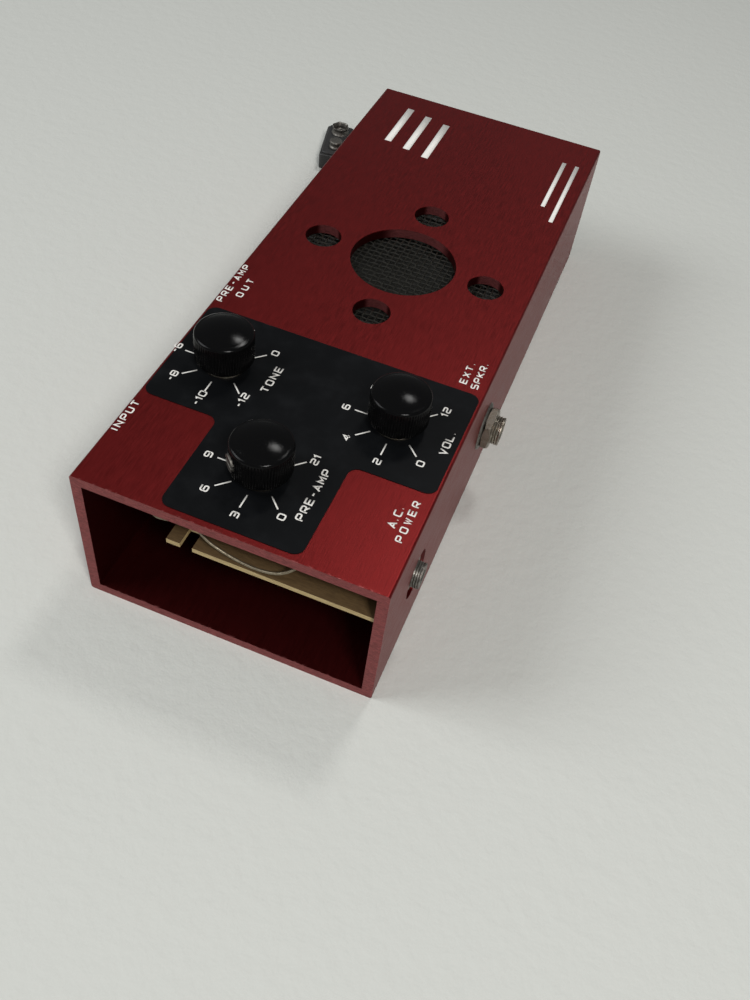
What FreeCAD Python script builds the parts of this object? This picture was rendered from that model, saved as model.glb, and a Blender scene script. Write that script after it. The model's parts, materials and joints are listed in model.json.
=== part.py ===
"""Pocket instrument amplifier: a square aluminium tube that holds three dials, a loudspeaker,
four sockets and a circuit board, with two battery leads and their snap.

Millimetres. +Z is up and the top panel faces it. The origin is the middle of the tube's
underside. X runs across the tube and Y along it, with the open mouth in front of the dials at
its -Y end.
"""

import FreeCAD
import Part
import Sketcher
import math
import os

doc = FreeCAD.newDocument("PocketAmplifier")

# Driving dimensions: alias, value, what it is. "From the mouth" is measured along the tube from
# its front end, and "under the panel" downwards from the inside of the top wall.
DIMENSIONS = [
    ("tube_width", 88.9, "outside, across"),
    ("tube_height", 50.0, "outside, upwards"),
    ("tube_length", 228.6, "front end to back end"),
    ("wall", 3.2, "of the tube"),
    ("edge_radius", 0.8, "long outer edges of the tube"),
    ("legend_thickness", 0.2, "black film on the top panel"),
    ("legend_corner", 3.0, "corner radius of the film"),
    ("legend_margin", 1.0, "film's band to each side of the tube"),
    ("band_near", 35.1, "film's band, from the mouth"),
    ("band_far", 76.7, "film's band, from the mouth"),
    ("stem_near", 1.8, "film's stem, from the mouth"),
    ("stem_width", 39.6, "film's stem, across"),
    ("front_row", 22.1, "front dial, from the mouth"),
    ("rear_row", 55.2, "two rear dials, from the mouth"),
    ("preamp_x", -0.6, "front dial, across"),
    ("volume_x", 25.3, "right dial, across"),
    ("tone_x", -28.0, "left dial, across"),
    ("preamp_dial", -135.0, "degrees, where the front knob points"),
    ("volume_dial", 135.0, "degrees, where the right knob points"),
    ("tone_dial", 90.0, "degrees, where the left knob points"),
    ("shaft_radius", 3.0, "of a potentiometer"),
    ("running_gap", 0.05, "round a turning shaft"),
    ("fit_gap", 0.1, "round a part that sits in another"),
    ("bushing_radius", 3.5, "threaded collar of a potentiometer"),
    ("pot_radius", 8.3, "case of a potentiometer"),
    ("pot_depth", 9.0, "case, under the panel"),
    ("pot_shell", 0.5, "sheet of the case"),
    ("pot_plate", 1.2, "mounting plate of a potentiometer"),
    ("wafer_thickness", 1.4, "resistance wafer"),
    ("wafer_reach", 11.5, "wafer's tongue, from the shaft's axis"),
    ("wafer_tongue", 13.0, "width of the tongue"),
    ("rotor_radius", 6.6, "wiper carrier on the shaft"),
    ("rotor_thickness", 1.6, "wiper carrier"),
    ("rotor_gap", 1.0, "wiper carrier to the wafer"),
    ("shaft_end_gap", 0.4, "shaft to the floor of its case"),
    ("lug_width", 1.6, "terminal lug"),
    ("lug_thickness", 0.5, "terminal lug"),
    ("lug_pitch", 4.5, "between lugs"),
    ("nut_across", 10.0, "potentiometer nut, across flats"),
    ("nut_height", 1.8, "potentiometer nut"),
    ("washer_radius", 6.2, "potentiometer washer"),
    ("washer_thickness", 0.5, "potentiometer washer"),
    ("knob_radius", 8.6, "knob"),
    ("knob_lift", 3.0, "underside of a knob above the panel"),
    ("knob_height", 11.2, "underside to top"),
    ("knob_bevel", 0.7, "bevel round the top"),
    ("knob_dome", 1.5, "rise of the domed top"),
    ("knob_bore_depth", 8.5, "blind bore for the shaft"),
    ("screw_radius", 2.4, "set screw"),
    ("screw_proud", 0.4, "set screw past the knob's side"),
    ("screw_height", 4.6, "set screw's axis above the knob's underside"),
    ("front_jacks", 27.5, "front sockets, from the mouth"),
    ("rear_jacks", 91.2, "rear sockets, from the mouth"),
    ("jack_height", 25.2, "socket axes above the base"),
    ("socket_radius", 3.25, "quarter-inch socket"),
    ("socket_depth", 22.0, "socket, past the inside of the wall"),
    ("sleeve_radius", 4.7, "threaded sleeve of a quarter-inch socket"),
    ("sleeve_reach", 6.0, "sleeve past the outside of the wall"),
    ("jack_washer_radius", 8.0, "socket washer"),
    ("jack_washer_thickness", 0.8, "socket washer"),
    ("jack_nut_across", 12.7, "socket nut, across flats"),
    ("jack_nut_height", 2.6, "socket nut"),
    ("jack_body_length", 24.0, "moulded socket body"),
    ("jack_body_width", 15.0, "moulded socket body, square"),
    ("contact_reach", 5.0, "solder contacts past the body"),
    ("power_hole_radius", 7.5, "clearance hole round the power socket"),
    ("power_socket_radius", 1.8, "power socket"),
    ("power_socket_depth", 13.0, "power socket, past the inside of the wall"),
    ("power_sleeve_radius", 4.0, "threaded sleeve of the power socket"),
    ("power_sleeve_reach", 2.0, "sleeve past the outside of the wall"),
    ("power_nut_across", 11.0, "power nut, across flats"),
    ("power_nut_height", 2.5, "power nut"),
    ("power_body_length", 14.0, "power socket body"),
    ("power_body_width", 12.0, "power socket body, square"),
    ("plate_side", 19.0, "insulating plate behind the power socket"),
    ("plate_thickness", 1.6, "insulating plate"),
    ("speaker_x", 0.9, "speaker, across"),
    ("speaker_row", 126.0, "speaker, from the mouth"),
    ("speaker_hole", 17.5, "radius of the large hole"),
    ("sound_hole", 6.0, "radius of each small hole"),
    ("sound_circle", 28.5, "radius of the small holes' circle"),
    ("mesh_radius", 37.0, "grille mesh"),
    ("mesh_thickness", 0.9, "grille mesh"),
    ("gasket_thickness", 1.2, "foam ring on the mesh"),
    ("speaker_radius", 38.0, "speaker's flange"),
    ("flange_width", 4.6, "speaker's flange"),
    ("flange_thickness", 1.0, "speaker's flange"),
    ("surround_thickness", 0.5, "rubber ring that carries the cone"),
    ("surround_width", 10.0, "rubber ring"),
    ("cone_radius", 29.4, "paper cone"),
    ("cone_depth", 10.9, "paper cone"),
    ("paper", 0.5, "thickness of the cone"),
    ("cone_lip", 2.0, "flat rim of the cone"),
    ("cone_throat", 1.0, "cone past the coil, at its narrow end"),
    ("cap_rise", 2.1, "dust cap above the coil"),
    ("cap_shoulder", 5.5, "where the dust cap bends, from its middle"),
    ("damper_gap", 0.25, "damper to the coil"),
    ("damper_height", 2.2, "damper above the frame's floor"),
    ("damper_sheet", 0.4, "damper"),
    ("damper_foot", 1.0, "damper's standing rim"),
    ("damper_inset", 1.6, "damper's rim, inside the frame's wall"),
    ("ring_inset", 1.0, "foam and rubber rings, inside the flange's edge"),
    ("basket_slant", 1.4, "where the frame's cone leaves the flange"),
    ("basket_depth", 16.4, "speaker's frame, under its flange's top"),
    ("basket_floor", 20.8, "radius of the frame's floor"),
    ("basket_sheet", 1.0, "sheet of the frame"),
    ("coil_radius", 8.2, "voice coil, outside"),
    ("coil_sheet", 0.5, "voice coil's wall"),
    ("coil_gap", 0.5, "magnet gap each side of the coil"),
    ("coil_length", 8.4, "voice coil"),
    ("front_plate_radius", 17.0, "steel plate in front of the magnet"),
    ("front_plate_thickness", 3.0, "steel plate"),
    ("magnet_radius", 20.0, "magnet"),
    ("magnet_bore", 12.0, "magnet, inside"),
    ("magnet_thickness", 8.0, "magnet"),
    ("yoke_thickness", 3.0, "steel plate behind the magnet"),
    ("board_top", 37.0, "circuit board's top above the base"),
    ("board_thickness", 1.6, "circuit board"),
    ("board_near", 1.2, "circuit board, from the mouth"),
    ("board_far", 82.0, "circuit board, from the mouth"),
    ("board_gap", 0.3, "circuit board to the side walls"),
    ("board_step", 38.3, "where the board widens, from the mouth"),
    ("board_step_x", -18.0, "left side of the board's narrow part"),
    ("notch_x", -12.2, "middle of the notch in the board's front edge"),
    ("notch_width", 3.6, "notch"),
    ("notch_depth", 6.0, "notch"),
    ("chip_width", 6.4, "chip"),
    ("chip_length", 9.6, "chip"),
    ("chip_height", 3.3, "chip"),
    ("chip_stand", 0.6, "chip above the board"),
    ("pin_pitch", 2.54, "between a chip's legs"),
    ("pin_width", 0.5, "chip's leg"),
    ("film_length", 7.2, "film capacitor"),
    ("film_width", 2.6, "film capacitor"),
    ("film_height", 6.0, "film capacitor"),
    ("resistor_radius", 1.1, "resistor"),
    ("resistor_length", 6.2, "resistor"),
    ("strip_width", 14.0, "speaker's terminal strip"),
    ("strip_length", 10.0, "speaker's terminal strip"),
    ("strip_thickness", 1.2, "speaker's terminal strip"),
    ("tag_pitch", 8.0, "between the strip's tags"),
    ("tag_length", 4.0, "solder tag"),
    ("tag_width", 2.4, "solder tag"),
    ("jack_flange", 1.0, "thickness of a socket sleeve's inner flange"),
    ("jack_flange_margin", 1.5, "flange inside the socket's body"),
    ("wire_radius", 0.4, "bare and internal wires"),
    ("lead_radius", 0.7, "battery leads"),
    ("snap_x", -71.6, "battery snap, across"),
    ("snap_y", 136.3, "battery snap, along"),
    ("snap_turn", 103.5, "degrees, the snap's long axis from +X"),
    ("snap_length", 25.5, "battery snap"),
    ("snap_width", 13.0, "battery snap"),
    ("snap_height", 8.0, "battery snap's shell"),
    ("contact_pitch", 12.7, "between the snap's contacts"),
    ("stud_radius", 2.8, "snap's stud"),
    ("stud_height", 2.8, "snap's stud"),
    ("cup_radius", 4.2, "snap's cup"),
    ("cup_bore", 3.0, "snap's cup, inside"),
    ("cup_height", 3.2, "snap's cup"),
]


class Length:
    """A number together with the sheet formula that gives it, so both stay the same."""

    def __init__(self, number, formula):
        self.number = number
        self.formula = formula

    def __add__(self, other):
        other = length(other)
        return Length(self.number + other.number, f"({self.formula} + {other.formula})")

    def __sub__(self, other):
        other = length(other)
        return Length(self.number - other.number, f"({self.formula} - {other.formula})")

    def __mul__(self, other):
        other = length(other)
        return Length(self.number * other.number, f"({self.formula} * {other.formula})")

    def __truediv__(self, other):
        other = length(other)
        return Length(self.number / other.number, f"({self.formula} / {other.formula})")

    def __radd__(self, other):
        return length(other) + self

    def __rsub__(self, other):
        return length(other) - self

    def __rmul__(self, other):
        return length(other) * self

    def __neg__(self):
        return 0 - self


def length(item):
    """The item as a Length; a plain number stands for itself."""
    return item if isinstance(item, Length) else Length(float(item), f"({float(item)})")


def cosine(angle):
    return Length(math.cos(math.radians(angle.number)), f"cos({angle.formula} * 1 deg)")


def sine(angle):
    return Length(math.sin(math.radians(angle.number)), f"sin({angle.formula} * 1 deg)")


class Sizes:
    """The sheet's values by name."""


def make_sheet():
    sheet = doc.addObject("Spreadsheet::Sheet", "Sizes")
    sizes = Sizes()
    for row, (alias, value, meaning) in enumerate(DIMENSIONS, start=1):
        sheet.set(f"A{row}", alias)
        sheet.set(f"B{row}", str(value))
        sheet.setAlias(f"B{row}", alias)
        sheet.set(f"C{row}", meaning)
        setattr(sizes, alias, Length(value, f"Sizes.{alias}"))
    doc.recompute()
    return sizes


size = make_sheet()
parts = []

# Places that several sub-parts share
panel = size.tube_height
underside = size.tube_height - size.wall
mouth = -size.tube_length / 2
inner_side = size.tube_width / 2 - size.wall
outer_side = size.tube_width / 2
speaker_y = mouth + size.speaker_row
film_top = panel + size.legend_thickness

# Each dial: name, x, y and where its knob points
DIALS = [
    ("preamp", size.preamp_x, mouth + size.front_row, size.preamp_dial),
    ("volume", size.volume_x, mouth + size.rear_row, size.volume_dial),
    ("tone", size.tone_x, mouth + size.rear_row, size.tone_dial),
]

# Each quarter-inch socket: name, side of the tube and y
SOCKETS = [
    ("input", -1, mouth + size.front_jacks),
    ("output", -1, mouth + size.rear_jacks),
    ("speaker_out", 1, mouth + size.rear_jacks),
]
POWER_SIDE = 1
power_y = mouth + size.front_jacks

ALONG_X = FreeCAD.Rotation(FreeCAD.Vector(0, 1, 0), 90)
ALONG_MINUS_X = FreeCAD.Rotation(FreeCAD.Vector(0, 1, 0), -90)
UPRIGHT = FreeCAD.Rotation()


def sideways(side):
    """The turn that sends a piece's own +Z out through the right (1) or left (-1) wall."""
    return ALONG_X if side > 0 else ALONG_MINUS_X


def bind(piece, **properties):
    for name, value in properties.items():
        piece.setExpression(name, length(value).formula)


def put(piece, place, turn=UPRIGHT):
    """Sets where a piece stands, from three lengths, and how it is turned."""
    piece.Placement = FreeCAD.Placement(FreeCAD.Vector(), turn)
    for axis, value in zip("xyz", place):
        piece.setExpression(f"Placement.Base.{axis}", length(value).formula)
    return piece


def part(piece, label):
    """Marks a piece as a finished sub-part under its own name."""
    piece.Label = label
    parts.append(piece)
    return piece


def sketch_on(body, role, name, offset=None):
    """A sketch on one of the body's own origin planes, moved along the plane's normal."""
    sketch = body.newObject("Sketcher::SketchObject", name)
    plane = next(item for item in body.Origin.OriginFeatures if item.Role == role)
    sketch.AttachmentSupport = [(plane, "")]
    sketch.MapMode = "FlatFace"
    if offset is not None:
        sketch.setExpression("AttachmentOffset.Base.z", length(offset).formula)
    return sketch


def fix_point(sketch, geometry, end, corner):
    """Holds a point at two lengths from the sketch's origin."""
    for kind, value in zip(("DistanceX", "DistanceY"), corner):
        value = length(value)
        index = sketch.addConstraint(Sketcher.Constraint(kind, -1, 1, geometry, end, value.number))
        sketch.setExpression(f"Constraints[{index}]", value.formula)


def outline(sketch, corners, dome=None):
    """A closed outline through the corners. Edge number dome, if given, is an arc centred on the
    sketch's upright axis instead of a straight line."""
    count = len(corners)
    points = [FreeCAD.Vector(length(x).number, length(y).number, 0) for x, y in corners]
    first = sketch.GeometryCount
    for edge in range(count):
        start, end = points[edge], points[(edge + 1) % count]
        if edge == dome:
            run = start.x - end.x
            rise = end.y - start.y
            radius = (run * run + rise * rise) / (2 * rise)
            centre = FreeCAD.Vector(end.x, end.y - radius, 0)
            circle = Part.Circle(centre, FreeCAD.Vector(0, 0, 1), radius)
            opening = math.atan2(start.y - centre.y, start.x - centre.x)
            sketch.addGeometry(Part.ArcOfCircle(circle, opening, math.pi / 2))
        else:
            sketch.addGeometry(Part.LineSegment(start, end))
    for edge in range(count):
        following = first + (edge + 1) % count
        sketch.addConstraint(Sketcher.Constraint("Coincident", first + edge, 2, following, 1))
    if dome is not None:
        sketch.addConstraint(Sketcher.Constraint("PointOnObject", first + dome, 3, -2))
    for edge, corner in enumerate(corners):
        fix_point(sketch, first + edge, 1, corner)


def circles(sketch, holes):
    """Circles in a sketch, each from its centre's two lengths and its radius."""
    for x, y, radius in holes:
        centre = FreeCAD.Vector(length(x).number, length(y).number, 0)
        hole = sketch.addGeometry(Part.Circle(centre, FreeCAD.Vector(0, 0, 1), radius.number))
        fix_point(sketch, hole, 3, (x, y))
        index = sketch.addConstraint(Sketcher.Constraint("Radius", hole, radius.number))
        sketch.setExpression(f"Constraints[{index}]", radius.formula)


def turned(name, corners, place=(0, 0, 0), turn=UPRIGHT, dome=None):
    """A body of revolution about its own upright axis from a profile of (radius, height)."""
    body = doc.addObject("PartDesign::Body", name)
    sketch = sketch_on(body, "XZ_Plane", name + "_profile")
    outline(sketch, corners, dome)
    revolution = body.newObject("PartDesign::Revolution", name + "_turn")
    revolution.Profile = sketch
    revolution.ReferenceAxis = (sketch, ["V_Axis"])
    revolution.Angle = 360
    return put(body, place, turn)


def ring(name, inner, outer, low, high, place=(0, 0, 0), turn=UPRIGHT):
    """A round piece of rectangular section, solid where the inner radius is 0."""
    corners = [(inner, low), (outer, low), (outer, high), (inner, high)]
    return turned(name, corners, place, turn)


def box(name, sizes, low, turn=UPRIGHT):
    piece = doc.addObject("Part::Box", name)
    bind(piece, Length=sizes[0], Width=sizes[1], Height=sizes[2])
    return put(piece, low, turn)


def rod(name, radius, height, foot, turn=UPRIGHT):
    piece = doc.addObject("Part::Cylinder", name)
    bind(piece, Radius=radius, Height=height)
    return put(piece, foot, turn)


def hexagon(name, across, height, foot, turn=UPRIGHT):
    piece = doc.addObject("Part::Prism", name)
    piece.Polygon = 6
    bind(piece, Circumradius=across / math.sqrt(3), Height=height)
    return put(piece, foot, turn)


def cut(name, base, tool):
    piece = doc.addObject("Part::Cut", name)
    piece.Base = base
    piece.Tool = tool
    return piece


def fuse(name, pieces):
    piece = doc.addObject("Part::MultiFuse", name)
    piece.Shapes = pieces
    piece.Refine = True
    return piece


def group(name, pieces):
    """Identical small pieces under one name, each still a solid of its own."""
    piece = doc.addObject("Part::Compound", name)
    piece.Links = pieces
    return piece


def pad_body(name, corners, thickness, low):
    """A flat body of the given outline, pressed upwards from height low."""
    body = doc.addObject("PartDesign::Body", name)
    sketch = sketch_on(body, "XY_Plane", name + "_outline", low)
    outline(sketch, corners)
    pad = body.newObject("PartDesign::Pad", name + "_pad")
    pad.Profile = sketch
    bind(pad, Length=thickness)
    return body


def pocket(body, name, role, offset, depth, holes):
    """Round holes sunk into a body against the plane's normal, starting at the offset."""
    sketch = sketch_on(body, role, name + "_circles", offset)
    circles(sketch, holes)
    sunk = body.newObject("PartDesign::Pocket", name)
    sunk.Profile = sketch
    bind(sunk, Length=depth)
    return sunk


def wire_path(points, ease=0.45):
    """Straight runs joined by tangent arcs, each as large as its two shorter runs allow."""
    edges = []
    start = points[0]
    radii = []
    for before, corner, after in zip(points, points[1:], points[2:]):
        run_in, run_out = corner - before, after - corner
        reach = ease * min(run_in.Length, run_out.Length)
        turn = run_in.getAngle(run_out)
        radii.append(reach / math.tan(turn / 2))
        leave = corner - run_in.normalize() * reach
        join = corner + run_out.normalize() * reach
        bisector = (run_out - run_in).normalize()
        swing = radii[-1] / math.cos(turn / 2) - radii[-1]
        edges.append(Part.LineSegment(start, leave).toShape())
        edges.append(Part.Arc(leave, corner + bisector * swing, join).toShape())
        start = join
    edges.append(Part.LineSegment(start, points[-1]).toShape())
    return Part.Wire(edges), radii


def wire_solid(points, radius):
    """A round wire along the points, with its tightest bend."""
    points = [FreeCAD.Vector(*(length(value).number for value in point)) for point in points]
    path, radii = wire_path(points)
    section = Part.Wire(Part.Circle(points[0], points[1] - points[0], radius.number).toShape())
    solid = path.makePipeShell([section], True, False)
    expected = math.pi * radius.number**2 * path.Length
    if abs(solid.Volume - expected) > 0.01 * expected:
        raise ValueError(f"a wire's volume is {solid.Volume:.1f}, not {expected:.1f}")
    return solid, path.Length, min(radii)


def wires(name, routes, radius):
    """One node of wires, each along its own route."""
    piece = doc.addObject("Part::Feature", name)
    solids = []
    for points in routes:
        solid, run, bend = wire_solid(points, radius)
        print(f"{name}: {run:.0f} mm long, tightest bend {bend:.1f} mm")
        solids.append(solid)
    piece.Shape = Part.makeCompound(solids) if len(solids) > 1 else solids[0]
    return piece


# ---- Housing and film -----------------------------------------------------------------------


def housing():
    """The extruded tube with its holes. Its section stands on the XZ plane, whose normal is -Y."""
    body = doc.addObject("PartDesign::Body", "housing")
    half = size.tube_width / 2
    section = sketch_on(body, "XZ_Plane", "housing_section", -size.tube_length / 2)
    outline(section, [(-half, 0), (half, 0), (half, panel), (-half, panel)])
    low, high = size.wall, underside
    outline(section, [(-inner_side, low), (inner_side, low), (inner_side, high), (-inner_side, high)])
    tube = body.newObject("PartDesign::Pad", "housing_tube")
    tube.Profile = section
    bind(tube, Length=size.tube_length)
    doc.recompute()
    corners = []
    for number, edge in enumerate(tube.Shape.Edges, start=1):
        centre = edge.CenterOfMass
        outside = abs(abs(centre.x) - half.number) < 0.01
        lengthwise = abs(centre.y) < 0.01 and edge.Length > size.tube_length.number / 2
        if outside and lengthwise:
            corners.append(f"Edge{number}")
    rounding = body.newObject("PartDesign::Fillet", "housing_edges")
    rounding.Base = (tube, corners)
    bind(rounding, Radius=size.edge_radius)

    over = 1.0
    bushing_hole = size.bushing_radius + size.fit_gap
    top_holes = [(x, y, bushing_hole) for name, x, y, dial in DIALS]
    top_holes.append((size.speaker_x, speaker_y, size.speaker_hole))
    for across, along in ((1, 0), (-1, 0), (0, 1), (0, -1)):
        x = size.speaker_x + across * size.sound_circle
        y = speaker_y + along * size.sound_circle
        top_holes.append((x, y, size.sound_hole))
    pocket(body, "top_holes", "XY_Plane", panel, size.wall + over, top_holes)

    sleeve_hole = size.sleeve_radius + size.fit_gap
    right = [(y, size.jack_height, sleeve_hole) for name, side, y in SOCKETS if side > 0]
    right.append((power_y, size.jack_height, size.power_hole_radius))
    pocket(body, "right_holes", "YZ_Plane", outer_side, size.wall + over, right)
    left = [(y, size.jack_height, sleeve_hole) for name, side, y in SOCKETS if side < 0]
    pocket(body, "left_holes", "YZ_Plane", over - inner_side, size.wall + 2 * over, left)
    part(body, "housing")


def legend():
    """The black film: a band across the top with a stem towards the mouth."""
    half_band = size.tube_width / 2 - size.legend_margin
    half_stem = size.stem_width / 2
    near, step, far = mouth + size.stem_near, mouth + size.band_near, mouth + size.band_far
    corners = [(-half_stem, near), (half_stem, near), (half_stem, step), (half_band, step),
               (half_band, far), (-half_band, far), (-half_band, step), (-half_stem, step)]
    body = pad_body("legend", corners, size.legend_thickness, panel)
    doc.recompute()
    pad = body.Tip
    upright = []
    for number, edge in enumerate(pad.Shape.Edges, start=1):
        ends = edge.Vertexes
        if abs(ends[0].Z - ends[-1].Z) > size.legend_thickness.number / 2:
            upright.append(f"Edge{number}")
    rounding = body.newObject("PartDesign::Fillet", "legend_corners")
    rounding.Base = (pad, upright)
    bind(rounding, Radius=size.legend_corner)
    holes = [(x, y, size.bushing_radius + size.fit_gap) for name, x, y, dial in DIALS]
    pocket(body, "legend_holes", "XY_Plane", film_top, size.legend_thickness * 2, holes)
    part(body, "legend_film")


# ---- Dials ----------------------------------------------------------------------------------


def dial(name, x, y, angle):
    """One potentiometer with its knob. Its heights are above the base."""
    plate_low = underside - size.pot_plate
    wafer_low = plate_low - size.wafer_thickness
    case_low = underside - size.pot_depth
    case_floor = case_low + size.pot_shell
    washer_top = film_top + size.washer_thickness
    nut_top = washer_top + size.nut_height
    bore = size.shaft_radius + size.running_gap
    place = (x, y, 0)

    bushing = [(bore, plate_low), (size.pot_radius, plate_low), (size.pot_radius, underside),
               (size.bushing_radius, underside), (size.bushing_radius, nut_top + 0.2), (bore, nut_top + 0.2)]
    part(turned(f"{name}_bushing", bushing, place), f"{name}_pot_bushing")

    inside = size.pot_radius - size.pot_shell
    cup = turned(f"{name}_cup", [(0, case_low), (size.pot_radius, case_low), (size.pot_radius, plate_low),
                                 (inside, plate_low), (inside, case_floor), (0, case_floor)], place)
    slot_width = size.wafer_tongue + 2 * size.fit_gap
    slot = box(f"{name}_slot", (slot_width, size.pot_radius * 2, size.wafer_thickness + size.fit_gap),
               (x - slot_width / 2, y, wafer_low - size.fit_gap))
    part(cut(f"{name}_case", cup, slot), f"{name}_pot_case")

    disc = rod(f"{name}_disc", inside - size.fit_gap, size.wafer_thickness, (x, y, wafer_low))
    tongue = box(f"{name}_tongue", (size.wafer_tongue, size.wafer_reach, size.wafer_thickness),
                 (x - size.wafer_tongue / 2, y, wafer_low))
    clear = rod(f"{name}_clear", bore + size.fit_gap, size.wafer_thickness, (x, y, wafer_low))
    wafer = cut(f"{name}_wafer", fuse(f"{name}_wafer_blank", [disc, tongue]), clear)
    part(wafer, f"{name}_pot_wafer")

    knob_low = panel + size.knob_lift
    shaft_low = case_floor + size.shaft_end_gap
    shaft_top = knob_low + size.knob_bore_depth
    rotor_top = wafer_low - size.rotor_gap
    rotor_low = rotor_top - size.rotor_thickness
    shaft = [(0, shaft_low), (size.shaft_radius, shaft_low), (size.shaft_radius, rotor_low),
             (size.rotor_radius, rotor_low), (size.rotor_radius, rotor_top),
             (size.shaft_radius, rotor_top), (size.shaft_radius, shaft_top), (0, shaft_top)]
    part(turned(f"{name}_shaft", shaft, place), f"{name}_pot_shaft")

    shoulder = knob_low + size.knob_height - size.knob_dome - size.knob_bevel
    rim = size.knob_radius - size.knob_bevel
    profile = [(0, shaft_top), (size.shaft_radius, shaft_top), (size.shaft_radius, knob_low),
               (size.knob_radius, knob_low), (size.knob_radius, shoulder), (rim, shoulder + size.knob_bevel),
               (0, knob_low + size.knob_height)]
    blank = turned(f"{name}_blank", profile, place, dome=5)
    turn = FreeCAD.Rotation(FreeCAD.Vector(0, 0, 1), angle.number) * ALONG_X
    height = knob_low + size.screw_height
    inner = (x + size.shaft_radius * cosine(angle), y + size.shaft_radius * sine(angle), height)
    reach = size.knob_radius - size.shaft_radius + size.screw_proud
    drill = rod(f"{name}_drill", size.screw_radius, reach, (x, y, height), turn)
    bind(drill, Height=size.knob_radius * 2)
    hub = rod(f"{name}_hub", size.shaft_radius, size.knob_height, (x, y, knob_low))
    part(cut(f"{name}_knob", blank, cut(f"{name}_screw_hole", drill, hub)), f"{name}_knob")
    screw = rod(f"{name}_screw_rod", size.screw_radius, reach, inner, turn)
    relief = rod(f"{name}_screw_seat", size.shaft_radius, size.knob_height, (x, y, knob_low))
    part(cut(f"{name}_screw", screw, relief), f"{name}_set_screw")


def dial_fixings():
    """Washers, nuts and terminal lugs of the three potentiometers, in one node of each."""
    washers, nuts, lugs = [], [], []
    washer_top = film_top + size.washer_thickness
    wafer_low = underside - size.pot_plate - size.wafer_thickness
    bore = size.bushing_radius
    for name, x, y, dial_angle in DIALS:
        washers.append(ring(f"{name}_washer", bore, size.washer_radius, film_top, washer_top, (x, y, 0)))
        blank = hexagon(f"{name}_nut_blank", size.nut_across, size.nut_height, (x, y, washer_top))
        hole = rod(f"{name}_nut_hole", bore, size.nut_height, (x, y, washer_top))
        nuts.append(cut(f"{name}_nut", blank, hole))
        for step in (-1, 0, 1):
            low_x = x + step * size.lug_pitch - size.lug_width / 2
            back_y = y + size.wafer_reach
            foot_z = wafer_low - size.lug_thickness
            foot = box(f"{name}_lug_foot_{step + 1}", (size.lug_width, size.lug_width * 2, size.lug_thickness),
                       (low_x, back_y - size.lug_width, foot_z))
            leg = box(f"{name}_lug_leg_{step + 1}",
                      (size.lug_width, size.lug_thickness, foot_z - size.board_top + size.lug_thickness),
                      (low_x, back_y + size.lug_width - size.lug_thickness, size.board_top))
            lugs.append(fuse(f"{name}_lug_{step + 1}", [foot, leg]))
    part(group("washers", washers), "pot_washers")
    part(group("nuts", nuts), "pot_nuts")
    part(group("lugs", lugs), "pot_lugs")


# ---- Sockets --------------------------------------------------------------------------------


def socket(name, side, y):
    """One quarter-inch socket. Its own +Z points out of the wall, from the inside of the wall."""
    place = (side * inner_side, y, size.jack_height)
    turn = sideways(side)
    flange = size.jack_body_width / 2 - size.jack_flange_margin
    tip = size.wall + size.sleeve_reach
    back = -size.jack_flange
    sleeve = [(size.socket_radius, back), (flange, back), (flange, 0), (size.sleeve_radius, 0),
              (size.sleeve_radius, tip), (size.socket_radius, tip)]
    part(turned(f"{name}_sleeve", sleeve, place, turn), f"{name}_jack_sleeve")

    half = size.jack_body_width / 2
    end = side * (inner_side - size.jack_flange)
    low_x = end - size.jack_body_length if side > 0 else end
    block = box(f"{name}_block", (size.jack_body_length, size.jack_body_width, size.jack_body_width),
                (low_x, y - half, size.jack_height - half))
    bore = rod(f"{name}_bore", size.socket_radius, size.socket_depth - size.jack_flange,
               (side * (inner_side - size.socket_depth), y, size.jack_height), turn)
    part(cut(f"{name}_body", block, bore), f"{name}_jack_body")


def socket_fixings():
    """Washers, nuts and solder contacts of the sockets."""
    washers, nuts, contacts = [], [], []
    outside = size.wall
    nut_low = outside + size.jack_washer_thickness
    for name, side, y in SOCKETS:
        place = (side * inner_side, y, size.jack_height)
        turn = sideways(side)
        washers.append(ring(f"{name}_jack_washer", size.sleeve_radius, size.jack_washer_radius,
                            outside, nut_low, place, turn))
        foot = (side * (outer_side + size.jack_washer_thickness), y, size.jack_height)
        blank = hexagon(f"{name}_jack_nut_blank", size.jack_nut_across, size.jack_nut_height, foot, turn)
        hole = rod(f"{name}_jack_nut_hole", size.sleeve_radius, size.jack_nut_height, foot, turn)
        nuts.append(cut(f"{name}_jack_nut", blank, hole))
        back = inner_side - size.jack_flange - size.jack_body_length
        low_x = back - size.contact_reach if side > 0 else -back
        for step in (-1, 0, 1):
            contacts.append(box(f"{name}_contact_{step + 1}",
                                (size.contact_reach, size.lug_width, size.lug_thickness),
                                (low_x, y + step * size.lug_pitch - size.lug_width / 2, size.jack_height)))
    wall_inside = (inner_side, power_y, size.jack_height)
    turn = sideways(POWER_SIDE)
    blank = hexagon("power_nut_blank", size.power_nut_across, size.power_nut_height, wall_inside, turn)
    hole = rod("power_nut_hole", size.power_sleeve_radius, size.power_nut_height, wall_inside, turn)
    nuts.append(cut("power_nut", blank, hole))
    part(group("jack_washers", washers), "jack_washers")
    part(group("jack_nuts", nuts), "jack_nuts")
    part(group("jack_contacts", contacts), "jack_contacts")


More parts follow.
